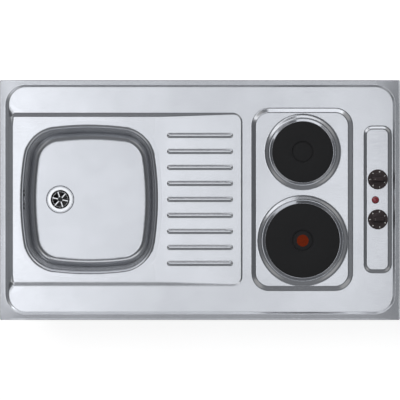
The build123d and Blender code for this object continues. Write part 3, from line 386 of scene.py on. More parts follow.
wall_clear, wall_half, wall_steps = 4.0, 206.0, 15
outline, normals = rounded_outline(**sink)
seen = outline[:, 0] > rim_left_x + wall_clear
first = int(np.argmax(~seen))
outline, normals, seen = (np.roll(line, -first, axis=0) for line in (outline, normals, seen))
for height in (panel_z, sink_z):
    rise = np.where(height < panel_z, drainer_height(outline[:, 0]) - sink_z, 0)
    foot = height - panel_z + rise
    for offset in bend(0.0, sink_blend, sink_slope):
        lay((outline + normals * (offset + foot / sink_slope)[:, None])[seen], closed=False)
foot_x = rim_left_x + (rim_z - sink_z) / left_slope
for offset in bend(foot_x, sink_blend, left_slope):
    lay([(offset, shift_y + y) for y in np.linspace(-wall_half, wall_half, wall_steps)], closed=False)

for field, slope, top in ((hob, hob_slope, hob_z), (control, control_slope, control_z)):
    outline, normals = rounded_outline(**field)
    foot, crest = bend(0.0, island_blend, slope), bend((panel_z - top) / slope, island_blend, slope)
    for offset in foot + crest:
        lay(outline + normals * offset)
collar_bends = [bend(at, collar_blend, collar_slope) for at in (0.0, -collar_run)]
for plate in plates.values():
    for offset in sum(collar_bends, []):
        lay(circle(plate["centre"], plate["collar"] + offset))
print(len(plan_points), "points in", len(plan_edges), "lines")

# %% [markdown]
# The ribs and the openings follow in the same way. Each rib gets slot-shaped rings at the places
# where its side bends, and each opening gets its edge and a second ring close to it.

# %% Lay out the ribs and the edges of the openings
rib_rings = (0.8, 1.5, 2.1, 2.8, 3.5, 5.5, 6.1, 6.7, 7.5)
rib_turns, rib_runs = 13, 7
left_end, right_end = rib_ends[0] + rib_half, rib_ends[1] - rib_half
along = np.linspace(left_end, right_end, rib_runs)
for y in rib_places:
    lay([(x, y) for x in along], closed=False)
    for radius in rib_rings:
        turns = np.linspace(-math.pi / 2, math.pi / 2, rib_turns)
        arc = [(radius * math.cos(a), radius * math.sin(a)) for a in turns]
        right = [(right_end + dx, y + dy) for dx, dy in arc]
        left = [(left_end - dx, y - dy) for dx, dy in arc]
        top = [(x, y + radius) for x in along[-2:0:-1]]
        bottom = [(x, y - radius) for x in along[1:-1]]
        lay(right + top + left + bottom)

for guard in (0.0, flat_guard):
    lay(bowl_outline(bowl_flange + guard))
spindle_hole, lamp_hole, hole_steps = 5.0, 6.0, 96
holes = [(plate["centre"], plate["collar"] - collar_run - collar_land) for plate in plates.values()]
holes += [(knob["place"], spindle_hole) for knob in knobs.values()] + [(lamp_place, lamp_hole)]
for centre, radius in holes:
    for guard in (0.0, flat_guard):
        lay(circle(centre, radius + guard, hole_steps))
print(len(plan_points), "points with the ribs and openings")

# %% [markdown]
# The triangulation joins every point, also across the openings, so the triangles whose middle lies in
# an opening are left out. A boolean cut would do that too, but it would break up the rings. All
# triangles are then turned the same way up and lifted to their heights.

# %% Join the rings and drop the openings
def within(points, polygon):
    """Which points lie inside a polygon."""
    inside = np.zeros(len(points), dtype=bool)
    for a, b in zip(polygon, np.roll(polygon, -1, axis=0)):
        crosses = (a[1] > points[:, 1]) != (b[1] > points[:, 1])
        rise = b[1] - a[1] if b[1] != a[1] else 1.0
        inside ^= crosses & (points[:, 0] < (b[0] - a[0]) * (points[:, 1] - a[1]) / rise + a[0])
    return inside


same_point, edge_slack = 1e-4, 0.999
joined = delaunay_2d_cdt(plan_points, plan_edges, [], 0, same_point)
flat = np.array([(v[0], v[1]) for v in joined[0]])
triangles = np.array(joined[2])
middles = flat[triangles].mean(axis=1)
gone = within(middles, mouth)
for centre, radius in holes:
    gone |= np.hypot(*(middles - centre[:2]).T) < radius * edge_slack
triangles = triangles[~gone]
first, second, third = (flat[triangles[:, k]] for k in range(3))
turn = (second[:, 0] - first[:, 0]) * (third[:, 1] - first[:, 1])
turn = turn - (second[:, 1] - first[:, 1]) * (third[:, 0] - first[:, 0])
triangles[turn < 0] = triangles[turn < 0][:, ::-1]
heights = sheet_height(flat[:, 0], flat[:, 1])
points = [(*xy, z) for xy, z in zip(flat, heights)]
faces = [tuple(int(i) for i in t) for t in triangles]
print(len(faces), "triangles,", int(gone.sum()), "dropped in the openings")

# %% [markdown]
# The edge of the sheet is folded down on a press brake: rings that follow a quarter circle, the
# straight skirt and the narrow lip that is turned in at the bottom. The sheet so far has only an
# upper face, and a Solidify modifier gives it its thickness, which keeps both faces parallel.

# %% Fold the edge
sheet_thickness, lip_radius, lip_width = 0.8, 1.2, 12.0
fold_steps, lip_steps, quarter = 8, 5, math.pi / 2
where = {number: i for i, numbers in enumerate(joined[3]) for number in numbers}
ring = [where[number] for number in border_numbers]
border_z, bottom_z = heights[ring], np.zeros(len(ring))
stations = []
for angle in np.linspace(0, quarter, fold_steps)[1:]:
    uneven = (border_z - rim_z) * (1 - angle / quarter)
    drop = fold_radius * (1 - math.cos(angle))
    stations.append((fold_radius * math.sin(angle), uneven + rim_z - drop))
for angle in np.linspace(0, quarter, lip_steps):
    turned_in = lip_radius * (1 - math.cos(angle))
    stations.append((fold_radius - turned_in, bottom_z + lip_radius * (1 - math.sin(angle))))
stations.append((fold_radius - lip_width, bottom_z))
for reach, level in stations:
    after = list(range(len(points), len(points) + len(ring)))
    points.extend([(*(p + n * reach), z) for p, n, z in zip(border, border_normals, level)])
    for i in range(len(ring)):
        k = (i + 1) % len(ring)
        faces.append((ring[i], after[i], after[k], ring[k]))
    ring = after
worktop = make_piece(
    "pressed_worktop", points, faces, "unit", ["worktop_sheet"], sharp=60
)
thick = worktop.modifiers.new("sheet thickness", "SOLIDIFY")
thick.thickness = sheet_thickness * MM
thick.offset = -1.0

# %% [markdown]
# Plates, trim rings, knobs and the lamp are turned parts. Blender's Spin would do, but a lathe-like
# helper that spins a profile of radius and height round an upright axis keeps the sizes in view. Real
# edges are never knife sharp, so the profile's corners are rounded first, each with its own radius.

# %% A lathe and rounded profiles
rounding_steps = 5


def rounded_profile(corners):
    """A line with its inner corners rounded; each corner is radius, height and rounding."""
    line = []
    for i, (r, z, rounding) in enumerate(corners):
        here = np.array([r, z])
        if rounding == 0 or i in (0, len(corners) - 1):
            line.append(here)
            continue
        back = np.array(corners[i - 1][:2]) - here
        on = np.array(corners[i + 1][:2]) - here
        back, on = back / np.linalg.norm(back), on / np.linalg.norm(on)
        half = math.acos(np.clip(back @ on, -1, 1)) / 2
        tangent = rounding / math.tan(half)
        middle = here + (back + on) / np.linalg.norm(back + on) * rounding / math.sin(half)
        start, stop = here + back * tangent - middle, here + on * tangent - middle
        begin = math.atan2(start[1], start[0])
        sweep = (math.atan2(stop[1], stop[0]) - begin + math.pi) % (2 * math.pi) - math.pi
        for share in np.linspace(0, 1, rounding_steps + 1):
            angle = begin + sweep * share
            line.append(middle + rounding * np.array([math.cos(angle), math.sin(angle)]))
    return line


def join_rows(rows, count):
    """The faces between rows of points that are closed rings of the same count."""
    faces = []
    for row in range(rows - 1):
        low, high = row * count, (row + 1) * count
        for i in range(count):
            k = (i + 1) % count
            faces.append((low + i, low + k, high + k, high + i))
    return faces


def lathe(profile, centre, steps=144):
    """The points and faces of a profile spun about an upright axis, with its ends closed."""
    points = []
    for r, z in profile:
        points.extend([(*xy, z) for xy in circle(centre, r, steps)])
    faces = join_rows(len(profile), steps)
    faces.append(tuple(range(steps))[::-1])
    faces.append(tuple(range((len(profile) - 1) * steps, len(profile) * steps)))
    return points, faces


print("a rounded corner has", len(rounded_profile([(0, 1, 0), (1, 1, 0.2), (1, 0, 0)])) - 2, "points")

# %% [markdown]
# A hotplate is a grey-iron casting: a sunken middle that is not heated, with a turned groove round
# it, a flat cooking face that has been turned on a lathe, and a rounded edge. It could stay as the
# solid is, but the light runs along the small roundings of the middle and of the edge, so they are
# modelled. The turning marks are left to the finish.

# %% The hotplates
axis_gap, middle_edge, groove_in, groove_out, face_edge = 0.4, 23.4, 24.2, 26.2, 27.2
middle_drop, groove_drop, core_drop, wall_drop = 1.6, 2.6, 5.5, 10.0
hub_radius, boss_radius, rim_wall = 28.0, 9.0, 7.0
for name, plate in plates.items():
    radius, top, foot = plate["radius"], plate["top"], plate["foot"]
    profile = rounded_profile(
        [
            (axis_gap, top - middle_drop, 0),
            (middle_edge, top - middle_drop, 0.5),
            (groove_in, top - groove_drop, 0.4),
            (groove_out, top - groove_drop, 0.5),
            (face_edge, top, 0.5),
            (radius, top, 0.9),
            (radius, top - wall_drop, 0.6),
            (radius - rim_wall, top - wall_drop, 0.6),
            (radius - rim_wall, top - core_drop, 0),
            (hub_radius, top - core_drop, 0),
            (hub_radius, top - wall_drop, 0.6),
            (boss_radius, top - wall_drop, 0.4),
            (boss_radius, foot, 0.6),
            (axis_gap, foot, 0),
        ]
    )
    points, faces = lathe(profile[::-1], plate["centre"])
    plate["piece"] = make_piece(
        f"{name}_iron_plate", points, faces, "unit", [f"{name}_hotplate"]
    )

# %% [markdown]
# The trim ring is a thin bright band, rolled from sheet, that closes the gap between the plate and
# its collar. It is made on the same lathe from a closed profile: the last row of points joins the
# first one, so the ring has no end caps.

# %% The trim rings
def ring_lathe(profile, centre, steps=144):
    """The points and faces of a closed profile that is spun about an upright axis."""
    points, faces = lathe(profile, centre, steps)
    last = (len(profile) - 1) * steps
    closing = [(last + i, last + (i + 1) % steps, (i + 1) % steps, i) for i in range(steps)]
    return points, faces[:-2] + closing


trim_sheet, trim_foot, trim_rise, trim_clearance, trim_edge = 0.6, 1.5, 3.0, 0.05, 0.1
for name, plate in plates.items():
    outer, inner, low = plate["trim"], plate["radius"] + trim_clearance, collar_z
    foot, high = outer - trim_foot, low + trim_rise
    profile = rounded_profile(
        [
            (outer, low, 0),
            (outer, low + trim_sheet, 0.25),
            (foot, low + trim_sheet, 0.8),
            (inner + 0.9, high + trim_sheet, 0.5),
            (inner, high + trim_sheet - trim_edge, 0),
            (inner, high - trim_edge, 0),
            (inner + 0.7, high, 0.3),
            (foot, low, 0.5),
            (outer - trim_edge, low, 0),
        ]
    )
    points, faces = ring_lathe(profile, plate["centre"])
    plate["ring"] = make_piece(
        f"{name}_bright_ring", points, faces, "unit", [f"{name}_trim_ring"]
    )

# %% [markdown]
# Each knob is one black moulding: a flat skirt that carries the numbers, a low hub and a grip bar.
# The skirt and the hub are turned. The bar could be a bevelled box, but a moulded grip draws in
# towards its top, so it is lofted from slot-shaped rings, each a little smaller than the one below.

# %% The knobs
knob_radius, skirt_height, knob_axis, knob_steps, end_steps = 25.0, 5.0, 0.3, 96, 12
grip_length, grip_width = 33.0, 12.0
grip_rings = (
    (0.0, 0.0), (4.0, 0.0), (9.0, 0.25), (13.5, 0.6), (15.4, 1.1), (16.4, 1.9), (16.9, 3.0), (17.0, 4.0)
)


def slot_ring(centre, length, width, z):
    """The points of a slot-shaped ring that lies along X."""
    half, radius = (length - width) / 2, width / 2
    angles = np.linspace(-math.pi / 2, math.pi / 2, end_steps + 1)
    arc = [(half + radius * math.cos(a), radius * math.sin(a)) for a in angles]
    right = [(centre[0] + dx, centre[1] + dy, z) for dx, dy in arc]
    return right + [(centre[0] - dx, centre[1] - dy, z) for dx, dy in arc]


for name, knob in knobs.items():
    place, low = knob["place"], knob["foot"]
    face = low + skirt_height
    skirt = rounded_profile(
        [
            (knob_axis, low, 0),
            (knob_radius, low, 0.4),
            (knob_radius, face - 1.2, 1.0),
            (knob_radius - 2.2, face, 1.2),
            (15.5, face - 0.4, 0.6),
            (13.5, face + 1.0, 0.8),
            (knob_axis, face + 1.3, 0),
        ]
    )
    points, faces = lathe(skirt, place, knob_steps)
    bar = []
    for rise, inset in grip_rings:
        bar.append(slot_ring(place, grip_length - 2 * inset, grip_width - 2 * inset, low + rise))
    count, shift = len(bar[0]), len(points)
    bar_faces = join_rows(len(bar), count) + [tuple(range((len(bar) - 1) * count, len(bar) * count))]
    points = points + [p for ring in bar for p in ring]
    faces = faces + [tuple(i + shift for i in f) for f in bar_faces]
    body, replaced = f"{name}_control", [f"{name}_knob"]
    knob["piece"] = make_piece(
        f"{name}_moulded_knob", points, faces, body, replaced
    )

# %% [markdown]
# The white numbers and the pointer are printed, so they are thin shapes of their own that turn with
# the knob. Numbers on a dial are easiest from Blender's own text: each figure is set as a text curve,
# turned into a mesh and moved to its place on the skirt. The seven positions of the switch are evenly
# spaced.

# %% The printed numbers and pointers
print_lift, figure_height, figure_radius, positions = 0.07, 4.0, 19.6, 7
first_turn = math.radians(12.0)
pointer_inset = 5.0
pointer = ((-2.6, 0.0, -0.5), (4.5, -1.0, 0.02), (4.5, 1.0, 0.02))


def figure_mesh(character):
    """The outline of one figure as points and faces, centred, about one unit high."""
    curve = bpy.data.curves.new("figure", "FONT")
    curve.body = character
    curve.align_x, curve.align_y = "CENTER", "CENTER"
    curve.size, curve.resolution_u = 1.35, 3
    stand_in = bpy.data.objects.new("figure", curve)
    mesh = bpy.data.meshes.new_from_object(stand_in)
    points = [tuple(v.co) for v in mesh.vertices]
    faces = [tuple(p.vertices) for p in mesh.polygons]
    bpy.data.objects.remove(stand_in)
    bpy.data.meshes.remove(mesh)
    bpy.data.curves.remove(curve)
    return points, faces


for name, knob in knobs.items():
    place = knob["place"]
    level = knob["foot"] + skirt_height + print_lift
    points, faces = [], []
    for position in range(positions):
        clockwise = first_turn + position * 2 * math.pi / positions
        out = np.array([math.sin(clockwise), math.cos(clockwise)])
        aside = np.array([out[1], -out[0]])
        shape, shape_faces = figure_mesh(str(position))
        shift = len(points)
        for x, y, _ in shape:
            spot = place[:2] + out * (figure_radius + y * figure_height) + aside * x * figure_height
            points.append((*spot, level))
        faces.extend([tuple(i + shift for i in f) for f in shape_faces])
    tip, shift = place[0] - grip_length / 2 + pointer_inset, len(points)
    points.extend([(tip + x, place[1] + y, knob["top"] + z) for x, y, z in pointer])
    faces.append((shift, shift + 1, shift + 2))
    knob["figures"] = make_piece(
        f"{name}_knob_figures", points, faces, f"{name}_control"
    )

# %% [markdown]
# The pilot lamp's lens is a small red dome of clear plastic with facets inside that scatter the
# light. Facets could be cut into a mesh, but they are far below what shows at this size. So only the
# dome is modelled, a turned cap with a rounded shoulder, and the facets are left to the finish.

# %% The lens of the pilot lamp
lens_low, lens_high = box_mm("lamp_lens")
lens_radius, lens_axis, lens_steps = (lens_high[0] - lens_low[0]) / 2, 0.2, 64
lens_profile = rounded_profile(
    [
        (lens_axis, lens_low[2], 0),
        (lens_radius, lens_low[2], 0.2),
        (lens_radius - 0.2, lens_low[2] + 0.9, 0.7),
        (lens_radius - 3.6, lens_high[2] - 0.5, 3.0),
        (lens_axis, lens_high[2], 0),
    ]
)
points, faces = lathe(lens_profile, lamp_place, lens_steps)
lens = make_piece("red_lens", points, faces, "unit", ["lamp_lens"])

# %% [markdown]
# Finishes come next. A finish is a small net of nodes round one shader: texture coordinates, noise
# that is stretched to the scale of the real marks, and ramps that turn it into colour, roughness or a
# bump. Wiring each node by hand takes many lines, so a helper keeps each recipe short. The room is
# such a net as well, so the general ways to add nodes stand apart from those of a finish.

# %% A helper for nets of nodes
class NodeNet:
    """A net of nodes, with short ways to add to it."""

    def __init__(self, tree):
        self.tree = tree

    def feed(self, socket, source):
        """Links an output to a socket, or sets the socket to a plain value."""
        if isinstance(source, bpy.types.NodeSocket):
            self.tree.links.new(source, socket)
        else:
            socket.default_value = source

    def add(self, kind, sources=None, **settings):
        """A new node with its settings, and what feeds its sockets."""
        node = self.tree.nodes.new("ShaderNode" + kind)
        for key, value in settings.items():
            setattr(node, key, value)
        for socket, source in (sources or {}).items():
            self.feed(node.inputs[socket], source)
        return node

    def maths(self, operation, *sources):
        """The result of one calculation."""
        numbered = dict(enumerate(sources))
        return self.add("Math", numbered, operation=operation).outputs["Value"]

    def spread(self, fac, low, high, start=0.3, stop=0.7):
        """A value that runs from low to high while a factor runs from start to stop."""
        limits = {"From Min": start, "From Max": stop, "To Min": low, "To Max": high}
        return self.add("MapRange", {"Value": fac, **limits}).outputs["Result"]

    def ramp(self, fac, *stops):
        """A colour along a factor; each stop is a position and a colour."""
        node = self.add("ValToRGB", {"Fac": fac})
        elements = node.color_ramp.elements
        while len(elements) < len(stops):
            elements.new(0.5)
        for element, (position, colour) in zip(elements, stops):
            element.position = position
            element.color = (*colour, 1.0)
        return node.outputs["Color"]


print("ways to add to a net:", [way for way in vars(NodeNet) if not way.startswith("_")])

# %% [markdown]
# A finish adds what a surface needs: grain, cells and rings as patterns, and colour, roughness and
# bump as what a pattern drives. Values that are the same all over are set on the shader itself. A
# bump has a real depth in millimetres and goes on top of the bumps before it.

# %% A helper for finishes
class Finish(NodeNet):
    """A material with one shader."""

    def __init__(self, name, **sockets):
        self.material = bpy.data.materials.new(name)
        self.material.use_nodes = True
        super().__init__(self.material.node_tree)
        self.shader = self.tree.nodes["Principled BSDF"]
        for socket, value in sockets.items():
            self.give(socket, value)
        self.place = self.add("TexCoord").outputs["Object"]

    def give(self, socket, source):
        """Links or sets one of the shader's sockets."""
        self.feed(self.shader.inputs[socket.replace("_", " ")], source)

    def mapped(self, **sockets):
        """Coordinates that are moved or scaled."""
        return self.add("Mapping", {"Vector": self.place, **sockets}).outputs["Vector"]

    def grain(self, per_metre, detail=3.0):
        """Noise with so many spots a metre, in all directions or along X, Y and Z."""
        scale = per_metre if isinstance(per_metre, tuple) else (per_metre,) * 3
        spots = {"Vector": self.mapped(Scale=scale), "Scale": 1.0, "Roughness": 0.55}
        return self.add("TexNoise", {**spots, "Detail": detail}).outputs["Fac"]

    def cells(self, per_metre):
        """The distance to the middle of the nearest cell."""
        return self.add("TexVoronoi", {"Vector": self.place, "Scale": per_metre}).outputs["Distance"]

    def rings(self, centre_mm, pitch_mm, wobble):
        """Rings round an upright axis."""
        place = self.mapped(Location=[-c * MM for c in centre_mm])
        scale = 2 * math.pi / 20 / (pitch_mm * MM)
        wave = {"Vector": place, "Scale": scale, "Distortion": wobble}
        return self.add("TexWave", wave, wave_type="RINGS", rings_direction="Z").outputs["Fac"]

    def colour(self, fac, dark, light, start=0.3, stop=0.7):
        """Colours the shader between two colours."""
        self.give("Base_Color", self.ramp(fac, (start, dark), (stop, light)))

    def roughness(self, fac, low, high):
        """Varies the shader's roughness between two values."""
        self.give("Roughness", self.spread(fac, low, high))

    def bump(self, height, depth_mm, strength=1.0):
        """Adds a bump of a real depth on top of those before it."""
        sources = {"Height": height, "Distance": depth_mm * MM, "Strength": strength}
        before = self.shader.inputs["Normal"].links
        if before:
            sources["Normal"] = before[0].from_socket
        self.give("Normal", self.add("Bump", sources).outputs["Normal"])


print("ways to add to a finish:", [way for way in vars(Finish) if not way.startswith("_")])

# %% [markdown]
# The sheet is satin stainless steel. Its colour is a pale grey, and what one sees in it is mostly what
# it mirrors, blurred by very fine brush lines along its length. Flat grey paint would look dead, so
# the brush lines vary the roughness, clouds vary the colour a little, and the slight waviness that any
# pressed sheet has bends the mirrored light softly. The bowl is the same steel, dulled by the deep
# draw. Along the welded seam it is ground together with the sheet, so its finish changes with height.

# %% The steel of the sheet and of the bowl
seam_low, seam_high, seam_clouds, seam_gloss = 1.6, 0.2, 0.25, -0.027


def satin_steel():
    """The worktop's sheet."""
    steel = Finish("satin_steel", Metallic=1.0)
    steel.colour(steel.grain(9, detail=2.0), (0.655, 0.663, 0.682), (0.709, 0.717, 0.737))
    steel.roughness(steel.grain((60, 2400, 2400), detail=1.0), 0.18, 0.22)
    steel.bump(steel.grain((3, 4, 4), detail=0.0), 0.3)
    return steel.material


def drawn_steel():
    """The bowl, with the sheet's gloss along the seam."""
    steel = Finish("drawn_steel", Metallic=1.0)
    level = steel.add("SeparateXYZ", {"Vector": steel.place}).outputs["Z"]
    limits = (sink_z - seam_low) * MM, (sink_z - seam_high) * MM
    ground = steel.spread(level, 0.0, 1.0, *limits)
    clouds = steel.maths("MULTIPLY_ADD", ground, seam_clouds, steel.grain(11, detail=2.0))
    steel.colour(clouds, (0.632, 0.641, 0.662), (0.682, 0.69, 0.712))
    dull = steel.spread(steel.grain(500, detail=2.0), 0.22, 0.235)
    steel.give("Roughness", steel.maths("MULTIPLY_ADD", ground, seam_gloss, dull))
    steel.bump(steel.grain(5, detail=0.0), 0.2)
    return steel.material


finishes = {"stainless": satin_steel(), "drawn": drawn_steel()}
print("steel:", [finish.name for finish in finishes.values()])

# %% [markdown]
# The small metal pieces differ in how they were finished. The trim rings and the overflow's screw are
# polished and the waste's ring is plated and buffed. The waste's middle screw is given a nearly black
# colour, which is painted shade for its recessed hub. One recipe does for these three: clouds in the
# colour, and finer marks in the gloss and the bump. Zinc plating shows pale crystals, which cells draw
# better than noise.

# %% Other metals
def bare_metal(name, dark, light, gloss, marks, depth_mm, clouds=None):
    """Bare metal with clouds in its colour and finer marks in its gloss."""
    metal = Finish(name, Metallic=1.0)
    fine = metal.grain(*marks)
    metal.colour(metal.grain(clouds) if clouds else fine, dark, light)
    metal.roughness(fine, *gloss)
    metal.bump(fine, depth_mm)
    return metal.material


def zinc_plate():
    """Brackets, tray and fasteners: zinc-plated steel with its pale spangle."""
    zinc = Finish("zinc_plate", Metallic=1.0)
    spangle = zinc.cells(140.0)
    zinc.colour(spangle, (0.50, 0.52, 0.55), (0.62, 0.635, 0.65), 0.1, 0.9)
    zinc.roughness(spangle, 0.30, 0.46)
    zinc.bump(zinc.grain(400), 0.01)
    return zinc.material


finishes["zinc_steel"] = zinc_plate()
finishes["bright"] = bare_metal(
    "bright_steel", (0.47, 0.48, 0.505), (0.54, 0.55, 0.575), (0.10, 0.18), (160, 3.0), 0.003, 30
)
finishes["chrome"] = bare_metal(
    "polished_chrome", (0.68, 0.685, 0.69), (0.73, 0.735, 0.74), (0.08, 0.15), (220, 3.0), 0.002, 40
)
# Painted shade: a nearly black steel for the waste's middle screw, in place of its recessed hub's shade.
finishes["stained"] = bare_metal(
    "stained_steel", (0.045, 0.048, 0.05), (0.085, 0.088, 0.09), (0.32, 0.5), (700, 4.0), 0.02
)
print("metals:", list(finishes))

# %% [markdown]
# Cast iron for hotplates is black and matt with fine turning marks. They could be cut into the mesh,
# but they are shallower than a tenth of a millimetre, so rings of a small pitch go into the bump,
# round each plate's own centre. The red spot of the quick plate is enamel that heat has dulled.

# %% Iron and enamel
turning_pitch, turning_wobble = 1.1, 0.3


def turned_iron(name, centre):
    """A hotplate's blackened iron with turning marks round its own centre."""
    iron = Finish(f"{name}_turned_iron", Specular_IOR_Level=0.3)
    skin = iron.grain(260, detail=5.0)
    iron.colour(skin, (0.0065, 0.0065, 0.0068), (0.0105, 0.0105, 0.011))
    iron.roughness(skin, 0.48, 0.62)
    iron.bump(iron.rings((*centre, 0), turning_pitch, turning_wobble), 0.02, 0.6)
    iron.bump(skin, 0.03, 0.6)
    return iron.material


def dulled_enamel():
    """The red spot."""
    enamel = Finish("dulled_red_enamel", Specular_IOR_Level=0.08)
    worn = enamel.grain(320, detail=4.0)
    enamel.colour(worn, (0.082, 0.0095, 0.002), (0.118, 0.014, 0.003))
    enamel.roughness(worn, 0.45, 0.65)
    enamel.bump(worn, 0.03, 0.5)
    return enamel.material


for name, plate in plates.items():
    plate["finish"] = turned_iron(name, plate["centre"])
finishes["red_enamel"] = dulled_enamel()
print("iron:", [plate["finish"].name for plate in plates.values()])

# %% [markdown]
# Plastics, rubbers and ceramics differ by their gloss and by the grain of the mould. A recipe for
# each would repeat itself, so one recipe with a few values covers them: a fine moulded grain for the
# bump, a larger cloud for the colour and a range for the roughness.

# %% Plastics, rubber and other mouldings
cloud_grain, mould_strength = 45, 0.6
low_gloss, brass_metal = {"Specular_IOR_Level": 0.3}, {"Metallic": 1.0}


def moulded(name, dark, light, gloss, per_metre, depth_mm, sockets=None):
    """A moulded finish: two close colours, a range of roughness, and the grain of the mould."""
    finish = Finish(name, **(sockets or {}))
    fine = finish.grain(per_metre)
    finish.colour(finish.grain(cloud_grain, detail=2.0), dark, light)
    finish.roughness(fine, *gloss)
    finish.bump(fine, depth_mm, mould_strength)
    return finish.material


mouldings = {
    "black_plastic": (
        "knob_black", (0.0165, 0.0118, 0.0122), (0.024, 0.0172, 0.0176), (0.3, 0.42), 900, 0.02, low_gloss
    ),
    "print": ("figure_white", (0.72, 0.72, 0.7), (0.8, 0.8, 0.78), (0.4, 0.5), 700, 0.01),
    "grey_moulding": (
        "grey_moulding", (0.20, 0.21, 0.22), (0.27, 0.28, 0.29), (0.4, 0.55), 600, 0.03
    ),
    "white_plastic": ("white_pipe", (0.74, 0.74, 0.71), (0.82, 0.82, 0.80), (0.22, 0.34), 300, 0.02),
    "rubber": ("seal_rubber", (0.02, 0.02, 0.02), (0.035, 0.035, 0.035), (0.6, 0.8), 700, 0.04),
    "bitumen": ("deadening_pad", (0.03, 0.03, 0.032), (0.06, 0.06, 0.062), (0.7, 0.9), 420, 0.25),
    "ceramic": ("unglazed_ceramic", (0.72, 0.68, 0.60), (0.82, 0.79, 0.73), (0.55, 0.75), 500, 0.05),
    "lamp_black": ("lamp_black", (0.012, 0.012, 0.013), (0.02, 0.02, 0.022), (0.15, 0.25), 500, 0.01),
    "brass": (
        "contact_brass", (0.68, 0.50, 0.22), (0.80, 0.63, 0.32), (0.2, 0.34), 500, 0.01, brass_metal
    ),
    "lead_sleeve": ("glass_sleeve", (0.46, 0.44, 0.40), (0.62, 0.60, 0.56), (0.7, 0.9), 1500, 0.15),
}
for slot, recipe in mouldings.items():
    finishes[slot] = moulded(*recipe)
print(len(finishes), "finishes so far")

# %% [markdown]
# Sawn softwood has long fibres along its length and darker bands of late wood. The battens run both
# ways, so the grain follows the longer side: noise squeezed along one axis gives the bands, and a
# finer one the fibres. The lens and the neon tube are the two clear pieces: cells stand for the
# facets inside the lens, and the tube lets light through.

# %% Wood, glass and the red lens
def softwood(name, along):
    """Sawn batten wood with its grain along one axis."""
    wood = Finish(name)
    bands, fibres = [110, 110, 160], [900, 900, 900]
    bands[along], fibres[along] = 3, 18
    late, fine = wood.grain(tuple(bands)), wood.grain(tuple(fibres), detail=2.0)
    wood.colour(late, (0.42, 0.27, 0.13), (0.66, 0.48, 0.29))
    wood.roughness(fine, 0.62, 0.82)
    wood.bump(fine, 0.12)
    return wood.material


def lens_red():
    """Clear red plastic over a scattering inside."""
    red = Finish("lens_red", Coat_Weight=0.6, Coat_Roughness=0.04, Specular_IOR_Level=0.6)
    facets = red.cells(520.0)
    red.colour(facets, (0.07, 0.004, 0.008), (0.17, 0.011, 0.018), 0.1, 0.8)
    red.roughness(facets, 0.10, 0.25)
    red.bump(facets, 0.08, 0.4)
    return red.material


def neon_glass():
    """The lamp's small tube."""
    glass = Finish("neon_glass", Transmission_Weight=0.85, IOR=1.47)
    streaks = glass.grain((300, 300, 60))
    glass.colour(streaks, (0.86, 0.70, 0.60), (0.95, 0.84, 0.76))
    glass.roughness(streaks, 0.03, 0.10)
    return glass.material


wood_along = {"front_batten": 0, "rear_batten": 0, "left_batten": 1, "right_batten": 1}
woods = {0: softwood("batten_wood_long", 0), 1: softwood("batten_wood_short", 1)}
finishes["red_lens"], finishes["neon_glass"] = lens_red(), neon_glass()
print(len(finishes), "finishes and", len(woods), "woods")

# %% [markdown]
# Each node of the solid model knows its material slot, so one loop dresses all of those that stay. A
# few nodes have a finish of their own. The pieces made above get their finish one by one.

# %% Put the finishes on
def dress(piece, material):
    """Gives a piece one material."""
    if piece.material_slots:
        for slot in piece.material_slots:
            slot.material = material
    else:
        piece.data.materials.append(material)


own_finish = {
    "sink_bowl": "drawn",
    "waste_flange": "chrome",
    # The waste's middle screw gets the nearly black steel that paints its hub's shade.
    "waste_screw": "stained",
    "overflow_screw": "bright",
}
for part in frame["record"]["subparts"]:
    node, slot = part["node"], part["material_slot"]
    if slot == "softwood":
        dress(frame["nodes"][node], woods[wood_along[node]])
    elif slot != "cast_iron":
        dress(frame["nodes"][node], finishes[own_finish.get(node, slot)])
dress(worktop, finishes["stainless"])
for name in sides:
    plate, knob = plates[name], knobs[name]
    dress(frame["nodes"][f"{name}_hotplate"], plate["finish"])
    dress(plate["piece"], plate["finish"])
    dress(plate["ring"], finishes["bright"])
    dress(knob["piece"], finishes["black_plastic"])
    dress(knob["figures"], finishes["print"])
dress(lens, finishes["red_lens"])

# %% [markdown]
# The floor is plain and pale. A brighter lamp would make it white, but it would bleach the steel as
# well. Light Path instead lets the floor show as white to the camera, and more weakly in the steel,
# while it still takes the light of the lamps, so the unit's shadow stays on it. Round the outlet the
# glow is taken away, which is painted shade: seen straight down through the waste's grid, the floor
# there looks dark, as in a pipe.

# %% The floor
floor_half, floor_squares, floor_gap = 40.0, 8, 0.0005
mirrored_share, floor_glow, shade_spot_inside, shade_spot_outside = 0.35, 0.87, 0.03, 0.12
grid = bmesh.new()
bmesh.ops.create_grid(grid, x_segments=floor_squares, y_segments=floor_squares, size=floor_half)
floor_mesh = bpy.data.meshes.new("studio_floor")
grid.to_mesh(floor_mesh)
grid.free()
floor = bpy.data.objects.new("studio_floor", floor_mesh)
floor.location.z = cad_box[0][2] - floor_gap
bpy.context.scene.collection.objects.link(floor)
floor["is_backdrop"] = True

pale = Finish("pale_floor", Roughness=0.9, Specular_IOR_Level=0.1, Emission_Color=(1.0,) * 4)
pale.colour(pale.grain(3, detail=2.0), (0.20,) * 3, (0.21,) * 3)
rays = pale.add("LightPath").outputs
seen_by = pale.maths("MULTIPLY_ADD", rays["Is Glossy Ray"], mirrored_share, rays["Is Camera Ray"])
shown = pale.maths("MINIMUM", pale.maths("ADD", seen_by, rays["Is Transmission Ray"]), 1.0)
outlet = (*middle_mm("waste_flange")[:2] * MM, 0.0)
away = pale.add("VectorMath", {0: pale.place, 1: outlet}, operation="DISTANCE").outputs["Value"]
# Painted shade: the floor's glow fades out in a round spot under the waste's outlet.
glow_less_shade_spot = pale.spread(away, 0.0, floor_glow, shade_spot_inside, shade_spot_outside)
pale.give("Emission_Strength", pale.maths("MULTIPLY", shown, glow_less_shade_spot))
dress(floor, pale.material)
print("floor at", round(floor.location.z, 4), "m, outlet at", np.round(outlet, 3))

